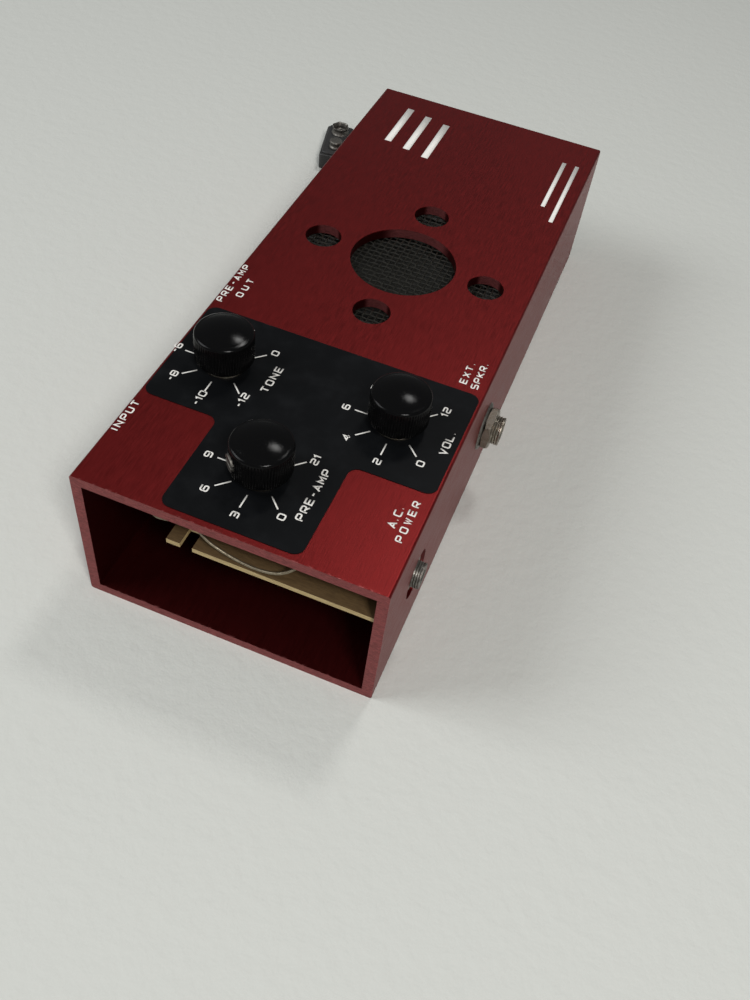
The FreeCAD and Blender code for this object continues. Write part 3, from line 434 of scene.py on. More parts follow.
def red_anodised(colours):
    """Dyed aluminium with a drawn grain along the tube, darker inside it, partly a duller inner finish and
    partly painted shade, painted shade on the walls of the panel's holes, and sawn ends with worn edges.
    Each region is told by the place, or by the surface's direction."""
    inner, edge_reach = HALF_WIDTH - WALL, 0.55
    finish = Finish("red_anodised", colours.red, 0.4, 0.9)
    grain = finish.noise((3.0, 0.16, 3.0), 5, 0.7)
    fine = finish.noise((5.0, 0.12, 5.0), 3, 0.6)
    cloud = finish.noise((0.03, 0.012, 0.03), 3)
    base = finish.mix(finish.fit(grain, 0.3, 0.7), shade(colours.red, 0.66), tuple(colours.red))
    base = finish.mix(finish.fit(cloud, 0.4, 0.7), base, shade(colours.red, 0.9))
    # painted shade: the tube's inside and the walls of the panel's holes, up to just under the top face, are
    # darkened to about a third of the red
    between = finish.fit(finish.math("ABSOLUTE", finish.axis("X")), inner + 0.05, inner + 0.35, 1.0, 0.0)
    under = finish.fit(finish.axis("Z"), HEIGHT - 0.5, HEIGHT - 0.2, 1.0, 0.0)
    above = finish.fit(finish.axis("Z"), WALL - 0.3, WALL - 0.1, 0.0, 1.0)
    inside = finish.math("MULTIPLY", between, finish.math("MULTIPLY", under, above))
    base = finish.mix(inside, base, shade(colours.red, 0.35))
    end = finish.fit(finish.math("ABSOLUTE", finish.axis("Y", "normal")), 0.7, 0.9)
    saw = finish.noise((0.6, 1.0, 4.0), 5, 0.7)
    rim = finish.mix(finish.fit(saw, 0.35, 0.65), tuple(colours.rim), shade(colours.rim, 0.6))
    base = finish.mix(end, base, rim)
    from_end = finish.math("SUBTRACT", HALF_LENGTH, finish.math("ABSOLUTE", finish.axis("Y")))
    chips = finish.noise((0.5, 1.2, 1.2), 4, 0.7)
    edge = finish.fit(from_end, 0.0, edge_reach, 1.0, 0.0)
    worn = finish.math("MULTIPLY", edge, finish.fit(chips, 0.52, 0.6))
    base = finish.mix(worn, base, tuple(colours.rim))
    finish.paint(base)
    polish = finish.fit(grain, 0.25, 0.75, 0.34, 0.5)
    finish.polish(finish.math("ADD", polish, finish.math("MULTIPLY", end, 0.15)))
    finish.relief((grain, 0.03), (fine, 0.012), (finish.math("MULTIPLY", saw, end), 0.12))
    return finish.material


def print_black(colours):
    """Satin film, paler where it is rubbed."""
    finish = Finish("film_black", colours.film, 0.5, Specular_IOR_Level=0.07)
    grain = finish.noise((3, 3, 3), 5)
    rubbed = finish.noise((0.12, 0.12, 0.12), 4)
    paler = tuple(1.5 * c + 0.0008 for c in colours.film)
    finish.paint(finish.mix(finish.fit(rubbed, 0.45, 0.75), tuple(colours.film), paler))
    finish.polish(finish.fit(rubbed, 0.3, 0.7, 0.38, 0.5))
    finish.relief((grain, 0.01))
    return finish.material


def print_white(colours):
    """Screened ink, a little thin in places."""
    finish = Finish("white_print", colours.white, 0.55)
    thin = finish.noise((1.8, 1.8, 1.8), 5)
    finish.paint(finish.mix(finish.fit(thin, 0.3, 0.55), shade(colours.white, 0.88), tuple(colours.white)))
    finish.relief((thin, 0.01))
    return finish.material


def knob_black(colours):
    """Moulded black with a mould's fine grain, dust in it and a polished skin."""
    finish = Finish("knob_black", colours.knob, 0.2, Specular_IOR_Level=0.09)
    grain = finish.noise((4, 4, 4), 6, 0.7)
    dust = finish.fit(finish.noise((2.2, 2.2, 2.2), 8, 0.8), 0.56, 0.72)
    finish.paint(finish.mix(dust, tuple(colours.knob), (0.008, 0.0076, 0.007)))
    finish.polish(finish.fit(grain, 0.3, 0.7, 0.07, 0.14))
    finish.relief((grain, 0.02))
    return finish.material


def metal(name, color, rough, stain, scale=0.6, bump=0.01):
    """Bare or plated metal with soft stains, duller where it is stained."""
    finish = Finish(name, color, rough, 1.0)
    blot = finish.noise((scale, scale, scale), 6, 0.7)
    fine = finish.noise((5, 5, 5), 3)
    finish.paint(finish.mix(finish.fit(blot, 0.4, 0.7), color, stain))
    finish.polish(finish.fit(blot, 0.3, 0.75, rough * 0.8, rough * 1.5))
    finish.relief((fine, bump))
    return finish.material


def paper(name, color):
    """Pressed pulp: short fibres as stretched noise, with darker blotches."""
    finish = Finish(name, color, 0.85)
    fibre = finish.noise((1.2, 4.5, 1.2), 6, 0.7, 1.5)
    blot = finish.noise((0.2, 0.2, 0.2), 3)
    mixed = finish.math("MULTIPLY", finish.fit(fibre, 0.3, 0.7), finish.fit(blot, 0.2, 0.8, 0.6, 1))
    finish.paint(finish.mix(mixed, shade(color, 0.6), shade(color, 1.25)))
    finish.relief((fibre, 0.05))
    return finish.material


def laminate():
    """Brown board, its top darkened as painted shade, with pale sawn edges that show its layers."""
    finish = Finish("board_laminate", (0.2, 0.11, 0.04), 0.5)
    fibre = finish.noise((0.5, 3.0, 0.5), 5, 0.7)
    # painted shade: the top's browns are darker than the board's own colour, as if it lay in shade
    top = finish.mix(finish.fit(fibre, 0.3, 0.7), (0.065, 0.038, 0.015), (0.105, 0.064, 0.026))
    layers = finish.noise((0.15, 0.4, 6.0), 5, 0.7)
    cut = finish.mix(finish.fit(layers, 0.35, 0.65), (0.33, 0.23, 0.1), (0.5, 0.38, 0.18))
    side = finish.fit(finish.math("ABSOLUTE", finish.axis("Z", "normal")), 0.3, 0.6, 1, 0)
    finish.paint(finish.mix(side, top, cut))
    finish.relief((fibre, 0.03), (layers, 0.06))
    return finish.material


def sleeve(name, color, rough=0.45):
    """Insulation: a soft skin with faint marks along it."""
    finish = Finish(name, color, rough)
    marks = finish.noise((1.5, 1.5, 1.5), 5, 0.7)
    marked = tuple(0.7 * part + 0.01 for part in color)
    finish.paint(finish.mix(finish.fit(marks, 0.35, 0.7), color, marked))
    finish.polish(finish.fit(marks, 0.3, 0.7, rough * 0.8, rough * 1.2))
    finish.relief((marks, 0.02))
    return finish.material


FINISHES = {}


def make_finishes(scene):
    """Makes every finish once, under the name that the operators call it by."""
    colours = scene.amplifier_colours
    FINISHES.update(
        red=red_anodised(colours),
        film=print_black(colours),
        white=print_white(colours),
        knob=knob_black(colours),
        nickel=metal("dull_nickel", tuple(colours.nickel), 0.34, (0.16, 0.13, 0.1)),
        steel=metal("zinc_steel", (0.5, 0.5, 0.48), 0.38, (0.34, 0.33, 0.3), 0.25),
        dark_steel=metal("dark_steel", (0.23, 0.22, 0.2), 0.45, (0.09, 0.08, 0.07), 0.9),
        shaft=metal("turned_shaft", (0.66, 0.66, 0.65), 0.28, (0.5, 0.5, 0.48)),
        tin=metal("tinned", (0.62, 0.6, 0.54), 0.35, (0.42, 0.38, 0.3), 1.2),
        copper=metal("winding", (0.6, 0.25, 0.1), 0.35, (0.4, 0.15, 0.06), 1.0),
        wire=speckled("mesh_black", (0.006, 0.006, 0.005), (0.016, 0.015, 0.011), 0.45, 1.5,
                      Specular_IOR_Level=0.2),
        foam=speckled("foam_black", (0.018, 0.018, 0.018), (0.03, 0.03, 0.028), 0.95, 2.0, bump=0.25),
        cone=paper("cone_paper", (0.013, 0.013, 0.010)),
        damper=paper("damper_cloth", (0.35, 0.22, 0.08)),
        ferrite=speckled("ferrite", (0.05, 0.05, 0.052), (0.085, 0.085, 0.085), 0.6, 0.8, bump=0.06),
        board=laminate(),
        phenolic=speckled("phenolic", (0.24, 0.12, 0.04), (0.33, 0.18, 0.07), 0.5, 0.9),
        moulded=speckled("moulded_black", (0.014, 0.014, 0.015), (0.026, 0.025, 0.024), 0.48, 1.5),
        chip=speckled("chip_black", (0.02, 0.02, 0.021), (0.034, 0.034, 0.034), 0.6, 3.0),
        can=speckled("can_sleeve", (0.03, 0.06, 0.16), (0.045, 0.08, 0.2), 0.32, 0.6),
        amber=speckled("amber_dip", (0.42, 0.16, 0.03), (0.52, 0.23, 0.05), 0.3, 0.5),
        tan=speckled("resistor_tan", (0.5, 0.38, 0.22), (0.58, 0.46, 0.28), 0.45, 1.2),
        red_wire=sleeve("lead_red", (0.42, 0.018, 0.015)),
        black_wire=sleeve("lead_black", (0.016, 0.016, 0.017)),
        white_wire=sleeve("wire_white", (0.6, 0.58, 0.52)),
        bare=metal("bare_wire", (0.3, 0.26, 0.19), 0.5, (0.2, 0.16, 0.11), 1.2),
    )


def refinish(material, *nodes):
    """Gives CAD nodes a finish; their shape stays."""
    for node in nodes:
        data = frame["nodes"][node].data
        data.materials.clear()
        data.materials.append(FINISHES[material])


# ---- Settings -------------------------------------------------------------------------------


def length(name, description, default):
    return FloatProperty(name=name, description=description, default=default * MM, precision=5,
                         subtype="DISTANCE", unit="LENGTH")


class AmplifierSizes(bpy.types.PropertyGroup):
    ribs: IntProperty(name="Knob ribs", description="Fine ribs round each knob", default=66, min=12)
    rib_depth: length("Rib depth", "Depth of a knob's ribs", 0.22)
    mesh_pitch: length("Mesh pitch", "Between the wires of the grille", 2.1)
    mesh_wire: length("Mesh wire", "Radius of a grille wire", 0.27)
    tick: length("Tick radius", "Outer end of a dial's lines", 12.76)
    stroke: length("Stroke", "Width of the printed lines", 0.46)
    ink: length("Ink", "Thickness of the white print", 0.04)


def colour(name, description, default):
    return FloatVectorProperty(name=name, description=description, default=default, size=3,
                               min=0, max=1, subtype="COLOR")


class AmplifierColours(bpy.types.PropertyGroup):
    red: colour("Red", "Dyed tube", (0.215, 0.016, 0.016))
    rim: colour("Sawn rim", "Sawn ends and worn edges of the tube", (0.33, 0.09, 0.09))
    film: colour("Film", "Black film on the panel", (0.0036, 0.0040, 0.0046))
    white: colour("Print", "White print", (0.78, 0.76, 0.72))
    knob: colour("Knob", "Moulded knobs", (0.0032, 0.0032, 0.0034))
    nickel: colour("Nickel", "Socket hardware", (0.34, 0.31, 0.26))
    floor: colour("Floor", "The pale floor", (0.56, 0.57, 0.54))


# ---- Stage ----------------------------------------------------------------------------------


# The camera's lens in millimetres, its place, and its right and up directions
LENS = 35.784
CAMERA_PLACE = (0.072285, -0.248858, 0.248315)
CAMERA_RIGHT = Vector((0.92638, 0.36372, 0.09758))
CAMERA_UP = Vector((-0.3389, 0.69224, 0.63714))

# Distance and height of the floor's middle line, which curves up into the backdrop, and the angle
# by which it is turned from +Y
FLOOR_SWEEP = [(-4.0, 0.0), (0.6, 0.0), (0.8, 0.01), (0.95, 0.05), (1.05, 0.12)]
FLOOR_TURN = np.radians(21)
FLOOR_GAP = 0.02 * MM

# Each lamp's place, aim, two sides, power and colour
LAMPS = {
    "key": ((0.45, -0.6, 0.85), (0, 0, 0), (0.2, 0.2), 6.8, (1.0, 0.985, 0.96)),
    "window": ((-1.15, -0.45, 1.05), (0, 0, 0), (0.8, 0.8), 13.5, (0.97, 0.99, 1.0)),
    "rear": ((0.1, 0.45, 0.95), (0.03, -0.06, 0.05), (0.16, 0.16), 2.1, (1.0, 0.99, 0.97)),
}
SKY, SKY_STRENGTH = (0.97, 0.985, 1.0, 1), 0.16


class StageOperator(bpy.types.Operator):
    """Camera, pale floor and backdrop, and soft lamps"""

    bl_idname = "amplifier.stage"
    bl_label = "Stage"

    def execute(self, context):
        scene = context.scene
        self.camera(scene)
        self.ground(scene)
        for name, settings in LAMPS.items():
            self.lamp(scene, name, *settings)
        world = bpy.data.worlds.new("world")
        world.use_nodes = True
        world.node_tree.nodes["Background"].inputs["Color"].default_value = SKY
        world.node_tree.nodes["Background"].inputs["Strength"].default_value = SKY_STRENGTH
        scene.world = world
        scene.view_settings.view_transform = "Standard"
        return {"FINISHED"}

    def camera(self, scene):
        camera = bpy.data.cameras.new("camera")
        camera.lens = LENS
        camera.clip_start, camera.clip_end = 0.01, 20
        holder = bpy.data.objects.new("camera", camera)
        back = CAMERA_RIGHT.cross(CAMERA_UP).normalized()
        turn = Matrix((CAMERA_RIGHT, CAMERA_UP, back)).transposed().to_4x4()
        holder.matrix_world = Matrix.Translation(CAMERA_PLACE) @ turn
        scene.collection.objects.link(holder)
        scene.camera = holder

    def ground(self, scene):
        """The sweep's line of distance and height, carried sideways and turned about Z."""
        floor = Finish("floor_pale", scene.amplifier_colours.floor, 0.85, Specular_IOR_Level=0.15)
        beads = floor.noise((0.2, 0.2, 0.2), 3)
        floor.relief((beads, 0.4))
        sweep = soften(FLOOR_SWEEP, 0.2, 8)
        across, along = np.linspace(-4, 4, 9)[None, :], sweep[:, :1]
        x = across * np.cos(FLOOR_TURN) - along * np.sin(FLOOR_TURN)
        y = across * np.sin(FLOOR_TURN) + along * np.cos(FLOOR_TURN)
        grid = np.stack(np.broadcast_arrays(x, y, sweep[:, 1:] - FLOOR_GAP), -1)
        points, quads, fans = surface(grid, wrap_columns=False)
        ground = piece("floor", (points, quads[:, ::-1], fans), floor.material)
        ground.parent = None
        del ground["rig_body"]

    def lamp(self, scene, name, place, aim, size, power, color):
        data = bpy.data.lights.new(name, "AREA")
        data.shape = "RECTANGLE"
        data.size, data.size_y = size
        data.energy = power
        data.color = color
        obj = bpy.data.objects.new(name, data)
        obj.location = place
        obj.rotation_mode = "QUATERNION"
        obj.rotation_quaternion = (Vector(aim) - Vector(place)).to_track_quat("-Z", "Y")
        scene.collection.objects.link(obj)


# ---- Battery leads and snap -----------------------------------------------------------------

RED_LEAD = [
    (-4.0, -37.0, 35.4), (-4.0, -37.0, 28.0), (-5.0, -34.0, 18.0), (-8.0, -26.0, 9.5),
    (-14.0, -12.0, 5.8), (-21.0, 8.0, 4.7), (-27.0, 34.0, 4.6), (-27.0, 62.0, 4.9),
    (-24.0, 88.0, 5.3), (-21.5, 103.0, 7.4), (-21.0, 114.0, 8.0), (-22.5, 122.5, 4.2),
    (-27.5, 129.0, 1.4), (-36.0, 134.0, 1.2), (-46.0, 137.2, 1.7), (-56.18, 138.46, 3.2),
    (-64.93, 136.36, 3.2),
]
BLACK_LEAD = [
    (0.0, -37.0, 35.4), (0.0, -37.0, 28.0), (-1.0, -34.0, 17.5), (-4.0, -26.0, 9.0),
    (-9.0, -12.0, 5.6), (-16.0, 8.0, 4.6), (-22.0, 34.0, 4.7), (-22.5, 62.0, 4.8),
    (-19.5, 88.0, 5.4), (-17.5, 103.0, 7.5), (-17.0, 115.0, 8.2), (-17.5, 125.5, 4.2),
    (-21.5, 134.0, 1.4), (-30.5, 139.5, 1.2), (-43.0, 141.8, 1.7), (-56.88, 141.37, 3.2),
    (-65.63, 139.27, 3.2),
]
LEAD_RADIUS = 0.7 * MM


class LeadsOperator(bpy.types.Operator):
    """The two battery leads, from the circuit board to the snap"""

    bl_idname = "amplifier.leads"
    bl_label = "Battery leads"

    def execute(self, context):
        for name, route, length, finish, slot in (
            ("battery_lead_red_sleeve", RED_LEAD, 0.231, "red_wire", "wire_red"),
            ("battery_lead_black_sleeve", BLACK_LEAD, 0.241, "black_wire", "wire_black"),
        ):
            node = name.replace("_sleeve", "")
            lead = rope(name, route, LEAD_RADIUS, FINISHES[finish], replaces=(node,))
        return {"FINISHED"}


class SnapOperator(bpy.types.Operator):
    """The battery snap: a moulded shell with a stud and a spring cup"""

    bl_idname = "amplifier.snap"
    bl_label = "Battery snap"

    def execute(self, context):
        low, high = span("snap_shell")
        centre = (low + high) / 2
        turn, length, width, height = np.radians(103.5), 25.5 * MM, 13.0 * MM, high[2] - low[2]
        step = 1.6 * MM
        upper = block((length - step, width - step, step), 0.5 * MM, 2.4 * MM)
        shell = [block((length, width, height - 1.0 * MM), 0.6 * MM, 1.6 * MM),
                 moved(upper, (0, 0, height - step))]
        place = (centre[0], centre[1], low[2])
        piece("snap_shell_moulding", moved(joined(shell), place, turn=turn), FINISHES["moulded"],
              replaces=("snap_shell",))
        top = span("snap_contacts")[1][2] - high[2]
        half = 6.35 * MM * np.array([np.cos(turn), np.sin(turn), 0])
        base = np.array([centre[0], centre[1], high[2]])
        shapes = [moved(self.stud(top), base - half), moved(self.cup(top), base + half)]
        piece("snap_studs", joined(shapes), FINISHES["dark_steel"],
              replaces=("snap_contacts",))
        return {"FINISHED"}

    def stud(self, top):
        """A waisted button, turned from its softened outline."""
        outline = soften([(0, 0), (2.9 * MM, 0), (2.9 * MM, 0.5 * MM), (2.3 * MM, 0.9 * MM),
                          (2.3 * MM, top * 0.6), (2.85 * MM, top * 0.8), (2.6 * MM, top), (0, top)],
                         0.25 * MM)[1:-1]
        return lathe(outline, 48)

    def cup(self, top, sides=72, petals=6, gather=0.06):
        """A spring ring in petals: its radius swells with the cosine of the petals times the
        angle, and more so towards its top."""
        outline = soften([(2.3 * MM, 0), (4.0 * MM, 0), (3.5 * MM, 0.6 * MM), (3.2 * MM, top * 0.5),
                          (3.7 * MM, top * 0.85), (3.5 * MM, top), (3.1 * MM, top * 0.85),
                          (2.7 * MM, top * 0.5), (2.7 * MM, 0.6 * MM)], 0.2 * MM, closed=True)
        points, quads, fans = lathe(outline, sides, hollow=True)
        ring = points.reshape(-1, sides, 3)
        swell = 1 + gather * np.cos(petals * around(sides))[None, :, None] * (ring[..., 2:] / top)
        ring = np.concatenate([ring[..., :2] * swell, ring[..., 2:]], -1)
        return ring.reshape(-1, 3), quads, fans


# ---- Knobs ----------------------------------------------------------------------------------


class KnobsOperator(bpy.types.Operator):
    """Round ribbed knobs with a domed top, each with its slotted set screw"""

    bl_idname = "amplifier.knobs"
    bl_label = "Knobs"

    def execute(self, context):
        sizes = context.scene.amplifier_sizes
        for name in DIALS:
            self.knob(name, sizes)
            self.screw(name)
        return {"FINISHED"}

    def knob(self, name, sizes):
        """A profile of radius and height carried round Z. On its side the radius falls in by the
        rib depth times the absolute sine of half the ribs times the angle."""
        low, high = span(f"{name}_knob")
        radius, height = radius_of(f"{name}_knob"), high[2] - low[2]
        centre = (low + high) / 2
        bore, deep, dome, pole = 3.05 * MM, 8.3 * MM, 1.5 * MM, 0.02 * MM
        side_top = height - dome
        t = np.linspace(0, 1, 15)[1:]
        # the dome is part of a sphere: height falls with the square of the radius
        cap = np.stack([(radius - 1.15 * MM) * (1 - t), side_top + dome * (1 - (1 - t) ** 2)], 1)[:-1]
        profile = np.vstack([
            [(pole, deep), (bore, deep), (bore, 0.3 * MM), (bore + 0.4 * MM, 0)],
            [(radius - 1.2 * MM, 0), (radius - 0.4 * MM, 0), (radius - 0.25 * MM, 0.25 * MM)],
            [(radius, 0.6 * MM), (radius, 3 * MM), (radius, 6 * MM), (radius, side_top - 1.3 * MM)],
            [(radius - 0.1 * MM, side_top - 1.0 * MM), (radius - 0.12 * MM, side_top - 0.75 * MM)],
            [(radius - 0.3 * MM, side_top - 0.4 * MM), (radius - 0.75 * MM, side_top - 0.12 * MM)],
            [(radius - 1.0 * MM, side_top - 0.08 * MM)],
            cap,
            [(pole, height)],
        ])
        angle = around(sizes.ribs * 6)
        groove = 1 - np.abs(np.sin(angle * sizes.ribs / 2)) ** 0.8
        ribbed = (profile[:, :1] == radius) * sizes.rib_depth
        grid = carried(profile[:, :1] - ribbed * groove, profile[:, 1:], angle)
        shape = moved(surface(grid, caps=True), (centre[0], centre[1], low[2]))
        piece(f"{name}_knob_ribbed", shape, FINISHES["knob"], f"{name}_dial",
              (f"{name}_knob",), 35)

    def screw(self, name):
        """A short cylinder with two half-round lands on its end, the slot between them. A land is
        the arc beyond the slot's half width, drawn in towards its middle at the top."""
        node = f"{name}_set_screw"
        axis, centre = middle(f"{name}_pot_shaft"), middle(node)
        way = np.array([centre[0] - axis[0], centre[1] - axis[1], 0])
        way = way / np.linalg.norm(way)
        low, high = span(node)
        radius = (high[2] - low[2]) / 2
        inner, pole, bevel = 3.0 * MM, 0.02 * MM, 0.12 * MM
        slot_deep, slot_half = 0.9 * MM, 0.42 * MM
        length = radius_of(f"{name}_knob") + 0.38 * MM - inner - slot_deep
        body = lathe(soften([(pole, 0), (radius, 0), (radius, length), (pole, length)], 0.1 * MM), 48)
        angle = np.arccos(slot_half / radius)
        arc = np.linspace(-angle, angle, 24)
        land = np.stack([radius * np.cos(arc), radius * np.sin(arc)], 1)
        hub = land.mean(0)
        rings = []
        for shrink, z in ((0, -0.02 * MM), (0, slot_deep - bevel), (bevel, slot_deep)):
            drawn = hub + (land - hub) * (1 - shrink / radius * 1.6)
            rings.append(np.hstack([drawn, np.full((len(drawn), 1), z)]))
        raised = surface(np.array(rings), caps=True)
        lands = [moved(raised, (0, 0, length), turn=half_turn) for half_turn in (0, np.pi)]
        place = np.array([axis[0], axis[1], centre[2]]) + way * inner
        shape = moved(joined([body, *lands]), place, way, turn=0.9)
        piece(f"{name}_screw_slotted", shape, FINISHES["dark_steel"], f"{name}_dial", (node,), 30)


class PotsOperator(bpy.types.Operator):
    """Threaded collars, nuts and washers under the knobs; cases, wafers and lugs below"""

    bl_idname = "amplifier.pots"
    bl_label = "Potentiometers"

    def execute(self, context):
        bore, thread = 3.05 * MM, 3.5 * MM
        nuts, washers = [], []
        nut_low, nut_high = span("pot_nuts")
        rim_low, rim_high = span("pot_washers")
        for name, turn in zip(DIALS, (0.3, 1.1, 0.7)):
            node = f"{name}_pot_bushing"
            x, y = middle(f"{name}_pot_shaft")[:2]
            low, high = span(node)
            collar = threaded(thread, bore, low[2], high[2], 0.75 * MM, 0.2 * MM)
            plate = washer(bore, radius_of(node), low[2], low[2] + 1.2 * MM, 0.15 * MM)
            piece(f"{name}_collar_threaded", moved(joined([collar, plate]), (x, y, 0)), FINISHES["nickel"],
                  replaces=(node,))
            nut = hexagon_nut(10.0 * MM, 3.55 * MM, nut_high[2] - nut_low[2])
            nuts.append(moved(nut, (x, y, nut_low[2]), turn=turn))
            rim = washer(3.6 * MM, 6.2 * MM, rim_low[2], rim_high[2], 0.1 * MM, 48)
            washers.append(moved(rim, (x, y, 0)))
            refinish("steel", f"{name}_pot_case")
        piece("pot_nuts_chamfered", joined(nuts), FINISHES["nickel"], replaces=("pot_nuts",))
        piece("pot_washers_rounded", joined(washers), FINISHES["nickel"],
              replaces=("pot_washers",))
        refinish("phenolic", *(f"{name}_pot_wafer" for name in DIALS))
        refinish("shaft", *(f"{name}_pot_shaft" for name in DIALS))
        refinish("tin", "pot_lugs")
        return {"FINISHED"}


# ---- Sockets --------------------------------------------------------------------------------


class SocketsOperator(bpy.types.Operator):
    """Threaded sleeves, nuts, washers and bodies of the sockets"""

    bl_idname = "amplifier.sockets"
    bl_label = "Sockets"

    def execute(self, context):
        self.nuts, self.washers = [], []
        for (name, side), turn in zip(SOCKETS, (0.2, 0.65, 0.35)):
            self.jack(name, side, turn)
        self.power()
        piece("socket_nuts_chamfered", joined(self.nuts), FINISHES["nickel"],
              replaces=("jack_nuts",))
        piece("socket_washers_rounded", joined(self.washers), FINISHES["dark_steel"],
              replaces=("jack_washers",))
        refinish("tin", "jack_contacts")
        refinish("phenolic", "power_jack_plate")
        return {"FINISHED"}

    def jack(self, name, side, turn):
        """A 6.35 mm socket, its heights counted outwards from the tube's outer face."""
        node = f"{name}_jack_sleeve"
        bore, face = 3.25 * MM, HALF_WIDTH * MM
        low, high = span(node)
        y, z = middle(node)[1:]
        tip = max(abs(low[0]), abs(high[0]))
        out = (side, 0, 0)
        shapes = [threaded(4.7 * MM, bore, -bore, tip - face),
                  washer(bore, 6.0 * MM, -4.2 * MM, -3.2 * MM, 0.15 * MM)]
        piece(f"{name}_sleeve_threaded", moved(joined(shapes), (side * face, y, z), out),
              FINISHES["nickel"], replaces=(node,))
        nut = hexagon_nut(12.7 * MM, 4.6 * MM, 2.6 * MM)
        self.nuts.append(moved(nut, (side * (face + 0.8 * MM), y, z), out, turn))
        cup = soften([(4.75 * MM, 0), (8.0 * MM, 0), (7.6 * MM, 0.55 * MM), (6.7 * MM, 0.8 * MM),
                      (4.75 * MM, 0.8 * MM)], 0.12 * MM, closed=True)
        self.washers.append(moved(lathe(cup, 64, hollow=True), (side * face, y, z), out))
        self.body(f"{name}_jack_body", f"{name}_socket_moulding", side, bore, 13.4 * MM)

    def power(self):
        """The adaptor's socket, its heights counted outwards from the tube's inner face."""
        node = "power_jack_sleeve"
        bore, face, out = 1.8 * MM, (HALF_WIDTH - WALL) * MM, (1, 0, 0)
        low, high = span(node)
        y, z = middle(node)[1:]
        shapes = [threaded(4.0 * MM, bore, -1.55 * MM, high[0] - face, 0.7 * MM, 0.2 * MM),
                  washer(bore, 5.2 * MM, low[0] - face, -1.6 * MM, 0.15 * MM)]
        piece("power_sleeve_threaded", moved(joined(shapes), (face, y, z), out), FINISHES["dark_steel"],
              replaces=(node,))
        self.nuts.append(moved(hexagon_nut(11.0 * MM, 3.9 * MM, 2.5 * MM), (face, y, z), out, 0.5))
        self.body("power_jack_body", "power_socket_moulding", 1, bore, 10 * MM)

    def body(self, node, name, side, bore, bore_deep):
        """A moulding made of oblongs along X, which closes in to the bore on its outer face. Two
        shallow waists run round it."""
        low, high = span(node)
        length, half, corner, steps = high[0] - low[0], (high[1] - low[1]) / 2, 1.4 * MM, 8
        ends = [(0, 0.6), (0.2, 0.25), (0.6, 0.0)]
        waists = [(0.30, 0), (0.31, 0.45), (0.345, 0.45), (0.355, 0),
                  (0.66, 0), (0.67, 0.45), (0.705, 0.45), (0.715, 0)]
        path = [(z * MM, inset * MM) for z, inset in ends]
        path += [(length * share, inset * MM) for share, inset in waists]
        path += [(length - z * MM, inset * MM) for z, inset in ends[::-1]]
        lines = [oblong(half - inset, half - inset, corner, steps) for _, inset in path]
        rings = [np.hstack([line, np.full((len(line), 1), z)]) for line, (z, _) in zip(lines, path)]
        angle = np.arctan2(lines[0][:, 1], lines[0][:, 0])
        mouth = np.stack([bore * np.cos(angle), bore * np.sin(angle), np.full(len(angle), length)], 1)
        floor = mouth * [1, 1, 0] + [0, 0, length - bore_deep]
        grid = np.array([*rings, mouth, floor, floor * [0.02, 0.02, 1]])
        place = ((low[0] if side > 0 else high[0]), *middle(node)[1:])
        piece(name, moved(surface(grid, caps=True), place, (side, 0, 0)), FINISHES["moulded"],
              replaces=(node,))


# ---- Loudspeaker ----------------------------------------------------------------------------


class GrilleOperator(bpy.types.Operator):
    """Woven wire cloth between the panel and the loudspeaker"""

    bl_idname = "amplifier.grille"
    bl_label = "Grille"

    def execute(self, context):
        """Each wire's height is half the wire radius times the sine of its place over the pitch;
        the sign changes from wire to wire, and is opposite in the wires that cross it."""
        sizes = context.scene.amplifier_sizes
        pitch, thick = sizes.mesh_pitch, sizes.mesh_wire
        reach = radius_of("grille_mesh") - thick
        count = int(reach / pitch + 0.5)
        rank = np.arange(-count, count)
        offset = (rank + 0.5) * pitch
        chord = np.sqrt(reach**2 - offset**2)
        steps = 150
        along = chord[:, None] * np.linspace(-1, 1, steps)[None, :]
        sign = np.where(rank % 2 == 0, 1.0, -1.0)[:, None]
        rise = 0.5 * sign * thick * np.cos(np.pi * (along / pitch - 0.5))
        angle = around(6)
        side = offset[:, None, None] + thick * np.cos(angle)
        side = np.broadcast_to(side, (len(rank), steps, len(angle)))
        run = np.broadcast_to(along[..., None], side.shape)
        lengthwise = np.stack([run, side, rise[..., None] + thick * np.sin(angle)], -1)[:, :, ::-1]
        crosswise = np.stack([side, run, -rise[..., None] + thick * np.sin(angle)], -1)
        wires = [surface(wire, caps=True) for family in (lengthwise, crosswise) for wire in family]
        points, quads, fans = joined(wires)
        shape = moved((points, quads[:, ::-1], fans[:, ::-1]), middle("grille_mesh"))
        piece("grille_weave", shape, FINISHES["wire"], replaces=("grille_mesh",),
              smooth=60)
        return {"FINISHED"}


